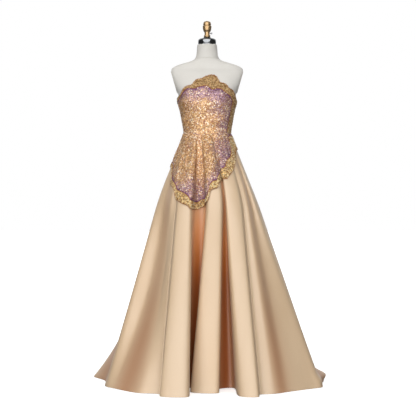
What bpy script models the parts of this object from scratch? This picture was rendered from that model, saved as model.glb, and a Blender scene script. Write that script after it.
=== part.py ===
"""Strapless A-line evening gown on a limbless dress form with a cross-footed stand.

Metres, +Z up. The origin is on the floor, on the axis of the stand's pole. The gown faces -Y, and +X is
the wearer's left. Bearings are degrees round the body: 0 is the front, 90 the wearer's left, 180 the back.
"""

import math
from collections import namedtuple

import bmesh
import bpy
import numpy as np
from mathutils import Matrix

# Driving levels above the floor
WAIST_Z = 1.250
HIP_Z = 0.860  # where the skirt's folds are fully formed
HEM_Z = 0.002

# Cloth thicknesses and the gaps between layers
SATIN = 0.0020
SEQUIN_CLOTH = 0.0020
OVERLAY_CLOTH = 0.0015
LACE = 0.0012
FORM_GAP = 0.0022  # dress form to the gown's inside
LAYER_GAP = 0.0016  # skirt to overlay
TRIM_GAP = 0.0007  # cloth to the lace on it
SIDE_TRIM_GAP = 0.0012
HIP_TRIM_GAP = 0.0010
SEAM_GAP = 0.0005

FORM_STEP = 7.5  # degrees between the columns of the form
FRONT_STEP, BACK_STEP, FRONT_REACH = 3, 8, 60  # the same for the bodice, finer up to FRONT_REACH in front
FRONT_COLUMNS = 4  # skirt columns between two fold lines in front, and behind
BACK_COLUMNS = 3

# The torso of the dress form, a row for each level
Section = namedtuple("Section", "z half_width front back squareness")
TORSO = [
    Section(0.930, 0.150, 0.100, 0.108, 2.2),
    Section(0.945, 0.157, 0.104, 0.116, 2.2),
    Section(1.060, 0.162, 0.108, 0.126, 2.2),
    Section(1.150, 0.143, 0.102, 0.106, 2.1),
    Section(1.250, 0.1130, 0.088, 0.077, 2.1),
    Section(1.320, 0.1230, 0.096, 0.083, 2.1),
    Section(1.370, 0.1328, 0.104, 0.091, 2.1),
    Section(1.405, 0.1425, 0.108, 0.098, 2.1),
    Section(1.440, 0.1460, 0.107, 0.102, 2.3),
    Section(1.500, 0.1720, 0.092, 0.103, 2.5),
    Section(1.550, 0.1840, 0.070, 0.092, 2.6),
    Section(1.5755, 0.1765, 0.052, 0.078, 2.5),
    Section(1.592, 0.1500, 0.048, 0.071, 2.4),
    Section(1.605, 0.1090, 0.047, 0.066, 2.2),
    Section(1.620, 0.0670, 0.048, 0.062, 2.1),
    Section(1.632, 0.0575, 0.048, 0.058, 2.0),
    Section(1.650, 0.0530, 0.047, 0.052, 2.0),
    Section(1.695, 0.0490, 0.0465, 0.0470, 2.0),
]
FORM_LEVELS = [0.930, 0.945, 1.06, 1.16, 1.25, 1.31, 1.36, 1.39, 1.42, 1.45, 1.48, 1.51, 1.54, 1.562, 1.5755]
FORM_LEVELS += [1.585, 1.596, 1.610, 1.622, 1.634, 1.655, 1.695]

# Bust cups on the form: bearing, level, height, and how far they reach in degrees and metres
CUP_BEARING, CUP_Z, CUP_HEIGHT, CUP_DEG, CUP_REACH = 33, 1.400, 0.014, 23, 0.042

# The plates that close the form's arm ends lie on a plane that leans out upwards
PLATE_LOW_Z = 1.440
PLATE_LOW_X = 0.1420
PLATE_LEAN = 0.286  # metres out for each metre up
PLATE_CENTRE_Z = 1.510
PLATE_HALF_HEIGHT = 0.058
PLATE_HALF_DEPTH = 0.040
PLATE_THICKNESS = 0.0035
PLATE_Y = 0.006

# Neckline: top of the lace, and the line where the lace stops on the sequinned cloth
Neckline = namedtuple("Neckline", "bearing top inner")
NECKLINE = [
    Neckline(-180, 1.398, 1.366),
    Neckline(-150, 1.404, 1.370),
    Neckline(-120, 1.414, 1.386),
    Neckline(-96, 1.422, 1.400),
    Neckline(-80, 1.428, 1.410),
    Neckline(-68, 1.435, 1.420),
    Neckline(-57, 1.446, 1.434),
    Neckline(-48, 1.462, 1.450),
    Neckline(-42, 1.471, 1.457),
    Neckline(-36, 1.478, 1.466),
    Neckline(-29, 1.483, 1.469),
    Neckline(-22.5, 1.486, 1.465),
    Neckline(-17, 1.500, 1.466),
    Neckline(-12, 1.513, 1.473),
    Neckline(-8, 1.515, 1.475),
    Neckline(-5, 1.518, 1.477),
    Neckline(-1, 1.528, 1.479),
    Neckline(3, 1.536, 1.467),
    Neckline(7, 1.534, 1.459),
    Neckline(11, 1.523, 1.462),
    Neckline(14, 1.509, 1.466),
    Neckline(17.5, 1.498, 1.465),
    Neckline(24, 1.494, 1.460),
    Neckline(30, 1.487, 1.451),
    Neckline(37.5, 1.472, 1.441),
    Neckline(47.5, 1.465, 1.429),
    Neckline(57.5, 1.453, 1.404),
    Neckline(67, 1.438, 1.394),
    Neckline(74.5, 1.422, 1.384),
    Neckline(90, 1.412, 1.378),
    Neckline(120, 1.410, 1.380),
    Neckline(150, 1.402, 1.370),
    Neckline(180, 1.398, 1.366),
]
BODICE_SEAMS = [
    ("bodice_back_right", -180, -92),
    ("bodice_side_right", -92, -42),
    ("bodice_front", -42, 42),
    ("bodice_side_left", 42, 92),
    ("bodice_back_left", 92, 180),
]
BODICE_ROWS, BORDER_ROWS = 8, 2

# Lace strip down the wearer's left side, with scalloped long edges
SIDE_STRIP_FRONT, SIDE_STRIP_BACK = 56.5, 103.0
SIDE_SCALLOP_DEG, SIDE_SCALLOPS = 1.8, 4

# Skirt folds: a row for each line that runs from waist to hem, in order round the body from the centre back.
# waist is its bearing at the waist. hip_x to hem_y are its place at HIP_Z and at the hem.
# sweep is how much the line curves out into the train. bulge is how far it swells out near the floor.
Fold = namedtuple("Fold", "name waist hip_x hip_y hem_x hem_y sweep bulge")
FOLDS = [
    Fold("back_seam", -180, 0.000, 0.205, 0.000, 0.640, 0.45, 0.0),
    Fold("train_right_crest", -160, -0.055, 0.238, -0.130, 0.725, 0.45, 0.008),
    Fold("train_right_valley", -147, -0.092, 0.185, -0.235, 0.545, 0.40, 0.0),
    Fold("back_right_crest", -134, -0.140, 0.212, -0.385, 0.565, 0.40, 0.008),
    Fold("back_right_valley", -122, -0.165, 0.150, -0.440, 0.370, 0.40, 0.0),
    Fold("flare_crest", -110, -0.208, 0.145, -0.592, 0.280, 0.80, 0.0),
    Fold("flare_valley", -98, -0.228, 0.070, -0.522, 0.105, 0.10, 0.0),
    Fold("right_crest", -84, -0.260, -0.024, -0.500, -0.092, 0.0, 0.0),
    Fold("right_front_crest", -74, -0.220, -0.074, -0.455, -0.158, 0.65, 0.0),
    Fold("right_valley", -56, -0.181, -0.162, -0.330, -0.302, 0.65, 0.0),
    Fold("right_seam", -42, -0.157, -0.190, -0.222, -0.340, 0.0, 0.0),
    Fold("fold1_right", -36, -0.140, -0.216, -0.218, -0.412, 0.0, 0.0),
    Fold("fold1_left", -27, -0.084, -0.235, -0.090, -0.430, 0.0, 0.0),
    Fold("gap1_right", -22, -0.058, -0.145, -0.094, -0.165, 0.0, 0.0),
    Fold("gap1_left", -14, -0.012, -0.140, -0.046, -0.130, 0.0, 0.0),
    Fold("fold2_right", -8, 0.002, -0.244, -0.073, -0.286, 0.0, 0.0),
    Fold("fold2_left", 6, 0.068, -0.246, 0.050, -0.314, 0.0, 0.0),
    Fold("gap2_right", 11, 0.079, -0.180, 0.060, -0.172, 0.0, 0.0),
    Fold("gap2_left", 16, 0.094, -0.178, 0.122, -0.144, 0.0, 0.0),
    Fold("fold3_right", 22, 0.100, -0.226, 0.156, -0.412, 0.0, 0.0),
    Fold("fold3_left", 37, 0.163, -0.210, 0.236, -0.430, 0.0, 0.0),
    Fold("left_seam", 43, 0.179, -0.178, 0.252, -0.352, 0.0, 0.0),
    Fold("left_front_crest", 51, 0.202, -0.168, 0.322, -0.328, 0.0, 0.0),
    Fold("left_valley", 62, 0.229, -0.094, 0.398, -0.262, 0.0, 0.0),
    Fold("left_side_crest", 73, 0.251, -0.080, 0.522, -0.160, 0.0, 0.0),
    Fold("left_crest", 86, 0.272, 0.002, 0.565, -0.122, 0.05, 0.008),
    Fold("roll_valley", 100, 0.232, 0.080, 0.572, 0.005, 0.20, 0.014),
    Fold("roll_crest", 110, 0.212, 0.150, 0.585, 0.125, 0.50, 0.042),
    Fold("back_left_valley", 122, 0.165, 0.158, 0.470, 0.300, 0.40, 0.0),
    Fold("back_left_crest", 135, 0.135, 0.215, 0.425, 0.540, 0.40, 0.008),
    Fold("train_left_valley", 147, 0.092, 0.185, 0.260, 0.535, 0.40, 0.0),
    Fold("train_left_crest", 160, 0.055, 0.238, 0.165, 0.720, 0.45, 0.008),
]
BULGE_Z, BULGE_REACH = 0.036, 0.024  # level and half-height of the bulge near the floor
WAIST_FLARE = 0.95  # how much steeper the skirt leaves the waist than its mean slope down to the hip
LOW_LEVELS = [HEM_Z, 0.036, 0.062, 0.160, 0.450]
MIDDLE_SHARES = [0.45, 0.80]  # rows between the last low level and the overlay's edge
UPPER_SHARES = [0.35, 0.70, 1.0]  # rows between the lace border and the waist
HIP_CLEARANCE = 0.0050  # form to the skirt's outer face, where the skirt lies on the hips
HIP_FADE_Z = 0.80

# Vertical seams of the skirt: a fold line, and how many columns before or after it the seam lies
Seam = namedtuple("Seam", "fold columns")
SEAMS = {
    "centre_back": Seam("back_seam", 0),
    "back_right": Seam("back_right_valley", 1),
    "side_right": Seam("flare_valley", 1),
    "front_right": Seam("right_seam", 0),
    "front_left": Seam("left_seam", 0),
    "side_left": Seam("left_crest", 2),
    "back_left": Seam("roll_crest", 2),
}
GORES = [
    ("skirt_back_right", "centre_back", "back_right"),
    ("skirt_side_back_right", "back_right", "side_right"),
    ("skirt_side_front_right", "side_right", "front_right"),
    ("skirt_front", "front_right", "front_left"),
    ("skirt_side_front_left", "front_left", "side_left"),
    ("skirt_side_back_left", "side_left", "back_left"),
    ("skirt_back_left", "back_left", "centre_back"),
]
HIP_PIECES = [
    ("back_right", "centre_back", "side_right"),
    ("front", "side_right", "side_left"),
    ("back_left", "side_left", "centre_back"),
]

# Overlay on the hips: its lower edge, and the line where its lace border stops, by waist bearing
Border = namedtuple("Border", "waist edge inner")
OVERLAY = [
    Border(-180, 1.085, 1.132),
    Border(-150, 1.108, 1.150),
    Border(-120, 1.104, 1.144),
    Border(-95, 1.092, 1.120),
    Border(-84, 1.084, 1.106),
    Border(-76, 1.072, 1.094),
    Border(-71.5, 1.045, 1.068),
    Border(-68, 1.010, 1.038),
    Border(-65.5, 0.992, 1.024),
    Border(-56, 0.978, 1.006),
    Border(-50.5, 0.963, 0.994),
    Border(-45.5, 0.938, 0.976),
    Border(-40.5, 0.919, 0.967),
    Border(-36, 0.909, 0.961),
    Border(-32.6, 0.899, 0.953),
    Border(-29, 0.889, 0.939),
    Border(-26.5, 0.874, 0.916),
    Border(-21, 0.872, 0.909),
    Border(-17, 0.880, 0.922),
    Border(-13.4, 0.890, 0.926),
    Border(-9.5, 0.904, 0.934),
    Border(-8, 0.912, 0.945),
    Border(-5, 0.962, 0.993),
    Border(-1, 0.971, 1.009),
    Border(3.6, 0.976, 1.014),
    Border(5.8, 1.000, 1.036),
    Border(8, 1.006, 1.046),
    Border(14, 1.012, 1.058),
    Border(21, 1.018, 1.071),
    Border(26.5, 1.020, 1.080),
    Border(29.5, 1.032, 1.098),
    Border(32.5, 1.042, 1.115),
    Border(39, 1.064, 1.128),
    Border(47, 1.090, 1.152),
    Border(50, 1.100, 1.170),
    Border(53, 1.112, 1.215),
    Border(56, 1.122, 1.232),
    Border(62, 1.142, 1.238),
    Border(68, 1.159, 1.238),
    Border(90, 1.170, 1.238),
    Border(102, 1.160, 1.238),
    Border(106, 1.150, 1.200),
    Border(124, 1.122, 1.166),
    Border(150, 1.110, 1.152),
    Border(180, 1.085, 1.132),
]
SKIRT_TOP_Z = WAIST_Z - SEAM_GAP / 2
BODICE_LOW_Z = WAIST_Z + SEAM_GAP / 2
OVERLAY_DROP = 0.0018  # keeps the thickness of the overlay's top edge, which leans out, below the bodice

# Closed zip down the centre back, its slider and its hanging pull
ZIP_HALF_WIDTH, ZIP_THICKNESS = 0.0020, 0.0015
SLIDER_Z, SLIDER_HEIGHT, SLIDER_WIDTH, SLIDER_DEPTH = 1.378, 0.010, 0.0070, 0.0020
EAR_WIDTH, EAR_HEIGHT, EAR_DEPTH, EAR_GAP = 0.0012, 0.0040, 0.0030, 0.0034
PULL_LENGTH, PULL_WIDTH, PULL_THICKNESS, KNUCKLE_RADIUS = 0.020, 0.0056, 0.0010, 0.0009
PULL_CLEARANCE = 0.0003

# Neck cap and turned finial, as radius and height rows from the top down
CAP_RADIUS, CAP_LOW_Z, CAP_SIDE_TOP_Z, CAP_TOP_Z = 0.0450, 1.6953, 1.7190, 1.7290
FINIAL_LOW_Z = CAP_TOP_Z + SEAM_GAP
Turning = namedtuple("Turning", "radius height")
FINIAL = [
    Turning(0.0000, 0.0860),
    Turning(0.0080, 0.0852),
    Turning(0.0150, 0.0815),
    Turning(0.0186, 0.0750),
    Turning(0.0197, 0.0670),
    Turning(0.0188, 0.0630),
    Turning(0.0222, 0.0585),
    Turning(0.0214, 0.0500),
    Turning(0.0196, 0.0400),
    Turning(0.0160, 0.0320),
    Turning(0.0136, 0.0295),
    Turning(0.0128, 0.0210),
    Turning(0.0134, 0.0150),
    Turning(0.0162, 0.0125),
    Turning(0.0166, 0.0080),
    Turning(0.0148, 0.0050),
]
COLLAR_RADIUS, COLLAR_HEIGHT = 0.0190, 0.0042
SCREW_RADIUS, SCREW_LENGTH, SCREW_Z = 0.0042, 0.0120, 1.7530
SCREW_SEAT_X = 0.0139  # just off the finial's stem

# Stand: pole, hub and four feet. The feet run under the front, the back and the sides, between the deep folds.
POLE_RADIUS = 0.016
HUB_RADIUS, HUB_HEIGHT = 0.045, 0.050
FOOT_LENGTH, FOOT_ROOT_WIDTH, FOOT_TIP_WIDTH, FOOT_HEIGHT = 0.235, 0.046, 0.030, 0.018
FOOT_ROOT_X = 0.025
SOCKET_RADIUS, SOCKET_HEIGHT = 0.030, 0.012


def smooth_through(knots, values, x):
    """A curve through the values that never overshoots them."""
    knots, values, x = (np.asarray(a, float) for a in (knots, values, x))
    steps = np.diff(knots)
    slopes = np.diff(values) / steps
    inner = np.where(
        slopes[:-1] * slopes[1:] > 0,
        2 * slopes[:-1] * slopes[1:] / (slopes[:-1] + slopes[1:] + 1e-30),
        0.0,
    )
    tangents = np.concatenate([slopes[:1], inner, slopes[-1:]])
    i = np.clip(np.searchsorted(knots, x, side="right") - 1, 0, len(steps) - 1)
    h = steps[i]
    s = np.clip((x - knots[i]) / h, 0, 1)
    return (
        values[i] * (1 + 2 * s) * (1 - s) ** 2
        + h * tangents[i] * s * (1 - s) ** 2
        + values[i + 1] * s * s * (3 - 2 * s)
        + h * tangents[i + 1] * s * s * (s - 1)
    )


def closed_spline(points, t):
    """A smooth closed curve through the points. t counts them, and whole numbers lie on them."""
    points = np.asarray(points, float)
    count = len(points)
    reach = np.sqrt(np.linalg.norm(np.roll(points, -1, axis=0) - points, axis=1))[:, None]
    before = np.roll(reach, 1, axis=0)
    back = np.roll(points, 1, axis=0)
    ahead = np.roll(points, -1, axis=0)
    tangent = (points - back) / before - (ahead - back) / (before + reach) + (ahead - points) / reach
    t = np.asarray(t, float)
    i = np.floor(t).astype(int)
    s = (t - i)[:, None]
    a, b = i % count, (i + 1) % count
    h = reach[a]
    return (
        points[a] * (1 + 2 * s) * (1 - s) ** 2
        + h * tangent[a] * s * (1 - s) ** 2
        + points[b] * s * s * (3 - 2 * s)
        + h * tangent[b] * s * s * (s - 1)
    )


def torso_column(name, z):
    return smooth_through([row.z for row in TORSO], [getattr(row, name) for row in TORSO], z)


def torso_surface(bearing, z):
    """Points of the dress form's surface, for arrays of bearings and levels."""
    bearing, z = np.broadcast_arrays(np.asarray(bearing, float), np.asarray(z, float))
    angle = np.radians(bearing)
    power = 2 / torso_column("squareness", z)
    side = np.sign(np.sin(angle)) * np.abs(np.sin(angle)) ** power
    ahead = np.sign(np.cos(angle)) * np.abs(np.cos(angle)) ** power
    depth = np.where(ahead > 0, torso_column("front", z), torso_column("back", z))
    turn = (np.abs(bearing) - CUP_BEARING) / CUP_DEG
    rise = (z - CUP_Z) / CUP_REACH
    cup = CUP_HEIGHT * np.exp(-(turn**2) - rise**2)
    x = side * torso_column("half_width", z) + cup * np.sin(angle) * 0.5
    y = -ahead * depth - cup * np.cos(angle)
    flat = PLATE_LOW_X + (z - PLATE_LOW_Z) * PLATE_LEAN
    x = np.where(z >= PLATE_LOW_Z, np.clip(x, -flat, flat), x)
    return np.stack([x, y, z], axis=-1)


def unit(vectors):
    return vectors / np.linalg.norm(vectors, axis=-1, keepdims=True)


def torso_offset(bearing, z, out):
    """Points that lie a distance out from the form's surface."""
    bearing, z = np.broadcast_arrays(np.asarray(bearing, float), np.asarray(z, float))
    turn, rise = 0.5, 0.002
    along = torso_surface(bearing + turn, z) - torso_surface(bearing - turn, z)
    up = torso_surface(bearing, z + rise) - torso_surface(bearing, z - rise)
    return torso_surface(bearing, z) + unit(np.cross(along, up)) * out


def fold_index(name):
    return [fold.name for fold in FOLDS].index(name)


def fold_value(column, t):
    """A column of the fold table between its rows, read smoothly round the skirt."""
    values = [[getattr(fold, column), 0.0] for fold in FOLDS]
    return closed_spline(np.array(values) + [[0, 1e-9 * i] for i in range(len(FOLDS))], t)[:, 0]


def waist_bearing(t):
    """The bearing at the waist of each t, which counts the fold lines."""
    knots = np.arange(len(FOLDS) + 1)
    return smooth_through(knots, [fold.waist for fold in FOLDS] + [180.0], t)


def skirt_surface(t, z):
    """Points of the skirt's outer face, for arrays of fold counts and levels."""
    t, z = np.broadcast_arrays(np.asarray(t, float), np.asarray(z, float))
    shape = t.shape
    t, z = t.ravel(), z.ravel()
    waist = torso_offset(waist_bearing(t % len(FOLDS)), WAIST_Z, FORM_GAP + SATIN)[:, :2]
    hip = closed_spline([(fold.hip_x, fold.hip_y) for fold in FOLDS], t)
    hem = closed_spline([(fold.hem_x, fold.hem_y) for fold in FOLDS], t)
    sweep = fold_value("sweep", t)[:, None]
    bulge = fold_value("bulge", t)[:, None]
    upper = WAIST_Z - HIP_Z
    s = np.clip((WAIST_Z - z) / upper, 0, 1)[:, None]
    leave = WAIST_FLARE * (hip - waist)
    arrive = (hem - hip) * (1 - sweep) * upper / HIP_Z
    above = (
        waist * (1 + 2 * s) * (1 - s) ** 2
        + leave * s * (1 - s) ** 2
        + hip * s * s * (3 - 2 * s)
        + arrive * s * s * (s - 1)
    )
    q = np.clip(1 - z / HIP_Z, 0, 1)[:, None]
    swell = unit(hem) * bulge * np.exp(-(((z - BULGE_Z) / BULGE_REACH) ** 2))[:, None]
    below = hip + (hem - hip) * ((1 - sweep) * q + sweep * q * q) + swell
    plan = np.where(z[:, None] >= HIP_Z, above, below)
    depth = np.where(plan[:, 1] < 0, torso_column("front", z), torso_column("back", z))
    power = torso_column("squareness", z)
    size = (np.abs(plan[:, 0]) / torso_column("half_width", z)) ** power + (np.abs(plan[:, 1]) / depth) ** power
    rest = np.clip((z - HIP_FADE_Z) / (TORSO[0].z - HIP_FADE_Z), 0, 1)
    needed = rest * (1 + HIP_CLEARANCE / np.hypot(plan[:, 0], plan[:, 1]))
    plan = plan * np.maximum(1, needed / size ** (1 / power))[:, None]
    return np.column_stack([plan, z]).reshape(shape + (3,))


def skirt_offset(t, z, out, shift=0.0):
    """Points a distance out from the skirt's outer face, moved along it by shift."""
    t, z = np.broadcast_arrays(np.asarray(t, float), np.asarray(z, float))
    turn, rise = 0.02, 0.002
    along = unit(skirt_surface(t + turn, z) - skirt_surface(t - turn, z))
    up = skirt_surface(t, z + rise) - skirt_surface(t, z - rise)
    return skirt_surface(t, z) + unit(np.cross(along, up)) * out + along * shift


def fold_columns(start, end):
    """Column counts of t from one seam to another: more in front, where the folds are finer."""
    front = (fold_index("right_crest"), fold_index("left_crest"))
    columns = []
    for line in range(len(FOLDS)):
        n = FRONT_COLUMNS if front[0] <= line < front[1] else BACK_COLUMNS
        columns += [line + k / n for k in range(n)]
    first = columns.index(fold_index(SEAMS[start].fold)) + SEAMS[start].columns
    last = columns.index(fold_index(SEAMS[end].fold)) + SEAMS[end].columns
    columns.append(float(len(FOLDS)))
    return np.array(columns[first : (last or len(columns) - 1) + 1])


def seam_shift(count, start, end):
    """How far each column moves along the cloth, so that pieces stay apart at their seams."""
    shift = np.zeros(count)
    shift[0], shift[-1] = start, -end
    return shift[None, :, None]


def material(name, colour, roughness, metallic=0.0):
    made = bpy.data.materials.new(name)
    made.use_nodes = True
    shader = made.node_tree.nodes["Principled BSDF"]
    shader.inputs["Base Color"].default_value = (*colour, 1.0)
    shader.inputs["Roughness"].default_value = roughness
    shader.inputs["Metallic"].default_value = metallic
    return made


def finish(obj, look, collection):
    """Puts the object in the gown's collection, with its material and smooth shading."""
    for old in list(obj.users_collection):
        old.objects.unlink(obj)
    collection.objects.link(obj)
    obj.data.materials.clear()
    obj.data.materials.append(look)
    if obj.type == "MESH":
        obj.data.shade_smooth()
        obj.data.set_sharp_from_angle(angle=math.radians(40))
    return obj


def grid_mesh(name, grid):
    """An open surface from a grid of points, rows going up and columns going anticlockwise seen from above."""
    rows, columns = grid.shape[:2]
    faces = [
        (r * columns + c, r * columns + c + 1, (r + 1) * columns + c + 1, (r + 1) * columns + c)
        for r in range(rows - 1)
        for c in range(columns - 1)
    ]
    mesh = bpy.data.meshes.new(name)
    mesh.from_pydata(grid.reshape(-1, 3).tolist(), [], faces)
    mesh.update()
    return mesh


def cloth(name, grid, thickness, outwards, look, collection):
    """A cloth wall over a grid of points, thickened inwards or outwards."""
    obj = bpy.data.objects.new(name, grid_mesh(name, grid))
    wall = obj.modifiers.new("thickness", "SOLIDIFY")
    wall.thickness = thickness
    wall.offset = 1.0 if outwards else -1.0
    return finish(obj, look, collection)


def turned(name, rows, base_z, look, collection, steps=20):
    """A solid of revolution about Z from radius and height rows, top to bottom."""
    mesh = bpy.data.meshes.new(name)
    points = [(row.radius, 0.0, row.height) for row in rows] + [(0.0, 0.0, rows[-1].height)]
    mesh.from_pydata(points, [(i, i + 1) for i in range(len(points) - 1)], [])
    obj = bpy.data.objects.new(name, mesh)
    obj.location.z = base_z
    screw = obj.modifiers.new("turn", "SCREW")
    screw.steps = screw.render_steps = steps
    screw.use_merge_vertices = True
    screw.merge_threshold = 0.00005
    screw.use_smooth_shade = True
    return finish(obj, look, collection)


def box(name, low, high):
    """A box between two corners, as a plain object."""
    mesh = bpy.data.meshes.new(name)
    made = bmesh.new()
    bmesh.ops.create_cube(made, size=1.0)
    for vertex in made.verts:
        vertex.co = [low[k] + (high[k] - low[k]) * (vertex.co[k] + 0.5) for k in range(3)]
    made.to_mesh(mesh)
    made.free()
    obj = bpy.data.objects.new(name, mesh)
    bpy.context.scene.collection.objects.link(obj)
    return obj


def rod(name, radius, length, centre, axis, segments=24):
    """A round bar along X or Z, as a plain object."""
    mesh = bpy.data.meshes.new(name)
    made = bmesh.new()
    bmesh.ops.create_cone(made, cap_ends=True, segments=segments, radius1=radius, radius2=radius, depth=length)
    if axis == "X":
        bmesh.ops.rotate(made, verts=made.verts, matrix=Matrix.Rotation(math.pi / 2, 3, "Y"))
    bmesh.ops.translate(made, verts=made.verts, vec=centre)
    made.to_mesh(mesh)
    made.free()
    obj = bpy.data.objects.new(name, mesh)
    bpy.context.scene.collection.objects.link(obj)
    return obj


def join(target, others, cutters):
    """Unites the target with others, which are kept as hidden helpers."""
    for other in others:
        union = target.modifiers.new("join_" + other.name, "BOOLEAN")
        union.operation = "UNION"
        union.object = other
        for old in list(other.users_collection):
            old.objects.unlink(other)
        cutters.objects.link(other)
        other.hide_render = True
        other.display_type = "WIRE"
    return target


def dress_form(look, collection):
    """The torso from the hips' flat underside to the neck."""
    bearings = np.arange(-180, 180, FORM_STEP)
    levels = np.array(FORM_LEVELS)
    grid = torso_surface(bearings[None, :], levels[:, None])
    rows, columns = grid.shape[:2]
    faces = [
        (r * columns + c, r * columns + (c + 1) % columns, (r + 1) * columns + (c + 1) % columns, (r + 1) * columns + c)
        for r in range(rows - 1)
        for c in range(columns)
    ]
    faces.append(list(range(columns))[::-1])
    faces.append([(rows - 1) * columns + c for c in range(columns)])
    mesh = bpy.data.meshes.new("form_torso")
    mesh.from_pydata(grid.reshape(-1, 3).tolist(), [], faces)
    return finish(bpy.data.objects.new("form_torso", mesh), look, collection)


def arm_plate(side, look, collection):
    """The oval plate that closes one arm end of the form. side is 1 on the wearer's left and -1 on the right."""
    name = "form_arm_plate_" + ("left" if side > 0 else "right")
    mesh = bpy.data.meshes.new(name)
    made = bmesh.new()
    bmesh.ops.create_cone(made, cap_ends=True, segments=32, radius1=1.0, radius2=0.94, depth=1.0)
    for vertex in made.verts:
        x, y, z = vertex.co
        vertex.co = (z * PLATE_THICKNESS, y * PLATE_HALF_DEPTH, -x * PLATE_HALF_HEIGHT)
    made.normal_update()
    made.to_mesh(mesh)
    made.free()
    obj = bpy.data.objects.new(name, mesh)
    lean = math.atan(PLATE_LEAN)
    out = SEAM_GAP + PLATE_THICKNESS / 2
    plane_x = PLATE_LOW_X + (PLATE_CENTRE_Z - PLATE_LOW_Z) * PLATE_LEAN
    obj.location = (side * (plane_x + out * math.cos(lean)), PLATE_Y, PLATE_CENTRE_Z - out * math.sin(lean))
    obj.rotation_euler.y = lean if side > 0 else math.pi - lean
    return finish(obj, look, collection)


def neck_cap(look, collection):
    side, top, radius = CAP_SIDE_TOP_Z - CAP_LOW_Z, CAP_TOP_Z - CAP_LOW_Z, CAP_RADIUS
    rows = [
        Turning(0.0, top),
        Turning(radius * 0.55, top - 0.0006),
        Turning(radius * 0.84, side + (top - side) * 0.60),
        Turning(radius * 0.97, side + (top - side) * 0.25),
        Turning(radius, side),
        Turning(radius, 0.0),
    ]
    return turned("neck_cap", rows, CAP_LOW_Z, look, collection, steps=28)


def finial_collar(look, collection):
    rows = [
        Turning(0.0, COLLAR_HEIGHT),
        Turning(COLLAR_RADIUS * 0.8, COLLAR_HEIGHT),
        Turning(COLLAR_RADIUS, COLLAR_HEIGHT * 0.4),
        Turning(COLLAR_RADIUS, 0.0),
    ]
    return turned("finial_collar", rows, FINIAL_LOW_Z, look, collection)


def finial_screw(look, collection):
    """The small thumb screw on the wearer's left of the finial's stem."""
    centre = (SCREW_SEAT_X + SCREW_LENGTH / 2, 0.0, SCREW_Z)
    return finish(rod("finial_screw", SCREW_RADIUS, SCREW_LENGTH, centre, "X", 20), look, collection)


def stand_base(look, collection, cutters):
    """A hub with four tapered feet, flat underneath."""
    hub = rod("stand_base", HUB_RADIUS, HUB_HEIGHT, (0, 0, HUB_HEIGHT / 2), "Z", 32)
    feet = []
    for quarter in range(4):
        foot = box(f"foot_{quarter}", (FOOT_ROOT_X, -0.5, 0), (FOOT_LENGTH, 0.5, FOOT_HEIGHT))
        for vertex in foot.data.vertices:
            tip = vertex.co.x > FOOT_ROOT_X + 0.001
            vertex.co.y *= FOOT_TIP_WIDTH if tip else FOOT_ROOT_WIDTH
            if tip and vertex.co.z > 0:
                vertex.co.z *= 0.6
        foot.rotation_euler.z = quarter * math.pi / 2
        feet.append(foot)
    join(hub, feet, cutters)
    return finish(hub, look, collection)


def bodice_columns(start, end):
    """Bearings of the bodice's columns between two of its seams."""
    behind = np.arange(FRONT_REACH, 180, BACK_STEP)
    columns = np.concatenate([-behind[::-1], np.arange(-FRONT_REACH, FRONT_REACH, FRONT_STEP)[1:], behind, [180]])
    columns = np.concatenate([[-180], columns])
    return columns[(columns >= start) & (columns <= end)]


def neckline_line(column, bearing):
    return smooth_through([row.bearing for row in NECKLINE], [getattr(row, column) for row in NECKLINE], bearing)


def bodice_rows(bearing):
    """Levels of the bodice's rows at each bearing: evenly up to the lace, then the lace's own rows."""
    inner, top = neckline_line("inner", bearing), neckline_line("top", bearing)
    plain = [BODICE_LOW_Z + (inner - BODICE_LOW_Z) * k / BODICE_ROWS for k in range(BODICE_ROWS)]
    return np.array(plain + [inner + (top - inner) * k / BORDER_ROWS for k in range(BORDER_ROWS + 1)])


def bodice(look, collection):
    """The panels, from the waist seam to the top edge."""
    for name, start, end in BODICE_SEAMS:
        bearings = bodice_columns(start, end)
        grid = torso_offset(bearings[None, :], bodice_rows(bearings), FORM_GAP)
        for column, way in ((0, 1), (-1, -1)):
            beside = unit(grid[:, column + way] - grid[:, column])
            grid[:, column] += beside * SEAM_GAP / 2
        cloth(name, grid, SEQUIN_CLOTH, True, look, collection)


def neckline_lace(look, collection):
    """The lace band round the top, open at the centre back for the zip."""
    bearings = bodice_columns(-180, 180)
    grid = torso_offset(bearings[None, :], bodice_rows(bearings)[-BORDER_ROWS - 1 :], FORM_GAP + SEQUIN_CLOTH + TRIM_GAP)
    for column, way in ((0, 1), (-1, -1)):
        beside = unit(grid[:, column + way] - grid[:, column])
        grid[:, column] += beside * (ZIP_HALF_WIDTH + SEAM_GAP)
    cloth("lace_neckline", grid, LACE, True, look, collection)


def side_lace(look, collection):
    """The lace strip down the wearer's left side, from the neckline lace to the waist."""
    rows = 3 * SIDE_SCALLOPS
    across = np.linspace(0, 1, 8)
    share = np.linspace(0, 1, rows + 1)[:, None]
    wave = SIDE_SCALLOP_DEG * np.abs(np.sin(share * math.pi * SIDE_SCALLOPS))
    bearings = SIDE_STRIP_FRONT - wave + (SIDE_STRIP_BACK - SIDE_STRIP_FRONT + 2 * wave) * across
    inner = neckline_line("inner", bearings) - 2 * SEAM_GAP
    z = BODICE_LOW_Z + SEAM_GAP + (inner - BODICE_LOW_Z - SEAM_GAP) * share
    grid = torso_offset(bearings, z, FORM_GAP + SEQUIN_CLOTH + SIDE_TRIM_GAP)
    cloth("lace_side", grid, LACE, True, look, collection)


def overlay_line(column, t):
    """A column of the overlay table at each t."""
    return smooth_through([row.waist for row in OVERLAY], [getattr(row, column) for row in OVERLAY], waist_bearing(t))


def hip_rows(t, top):
    """Levels of the overlay's rows at each t, from its edge up. The skirt and the lace share them."""
    edge, inner = overlay_line("edge", t), overlay_line("inner", t)
    return np.array([edge, inner] + [inner + (top - inner) * share for share in UPPER_SHARES])


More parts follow.
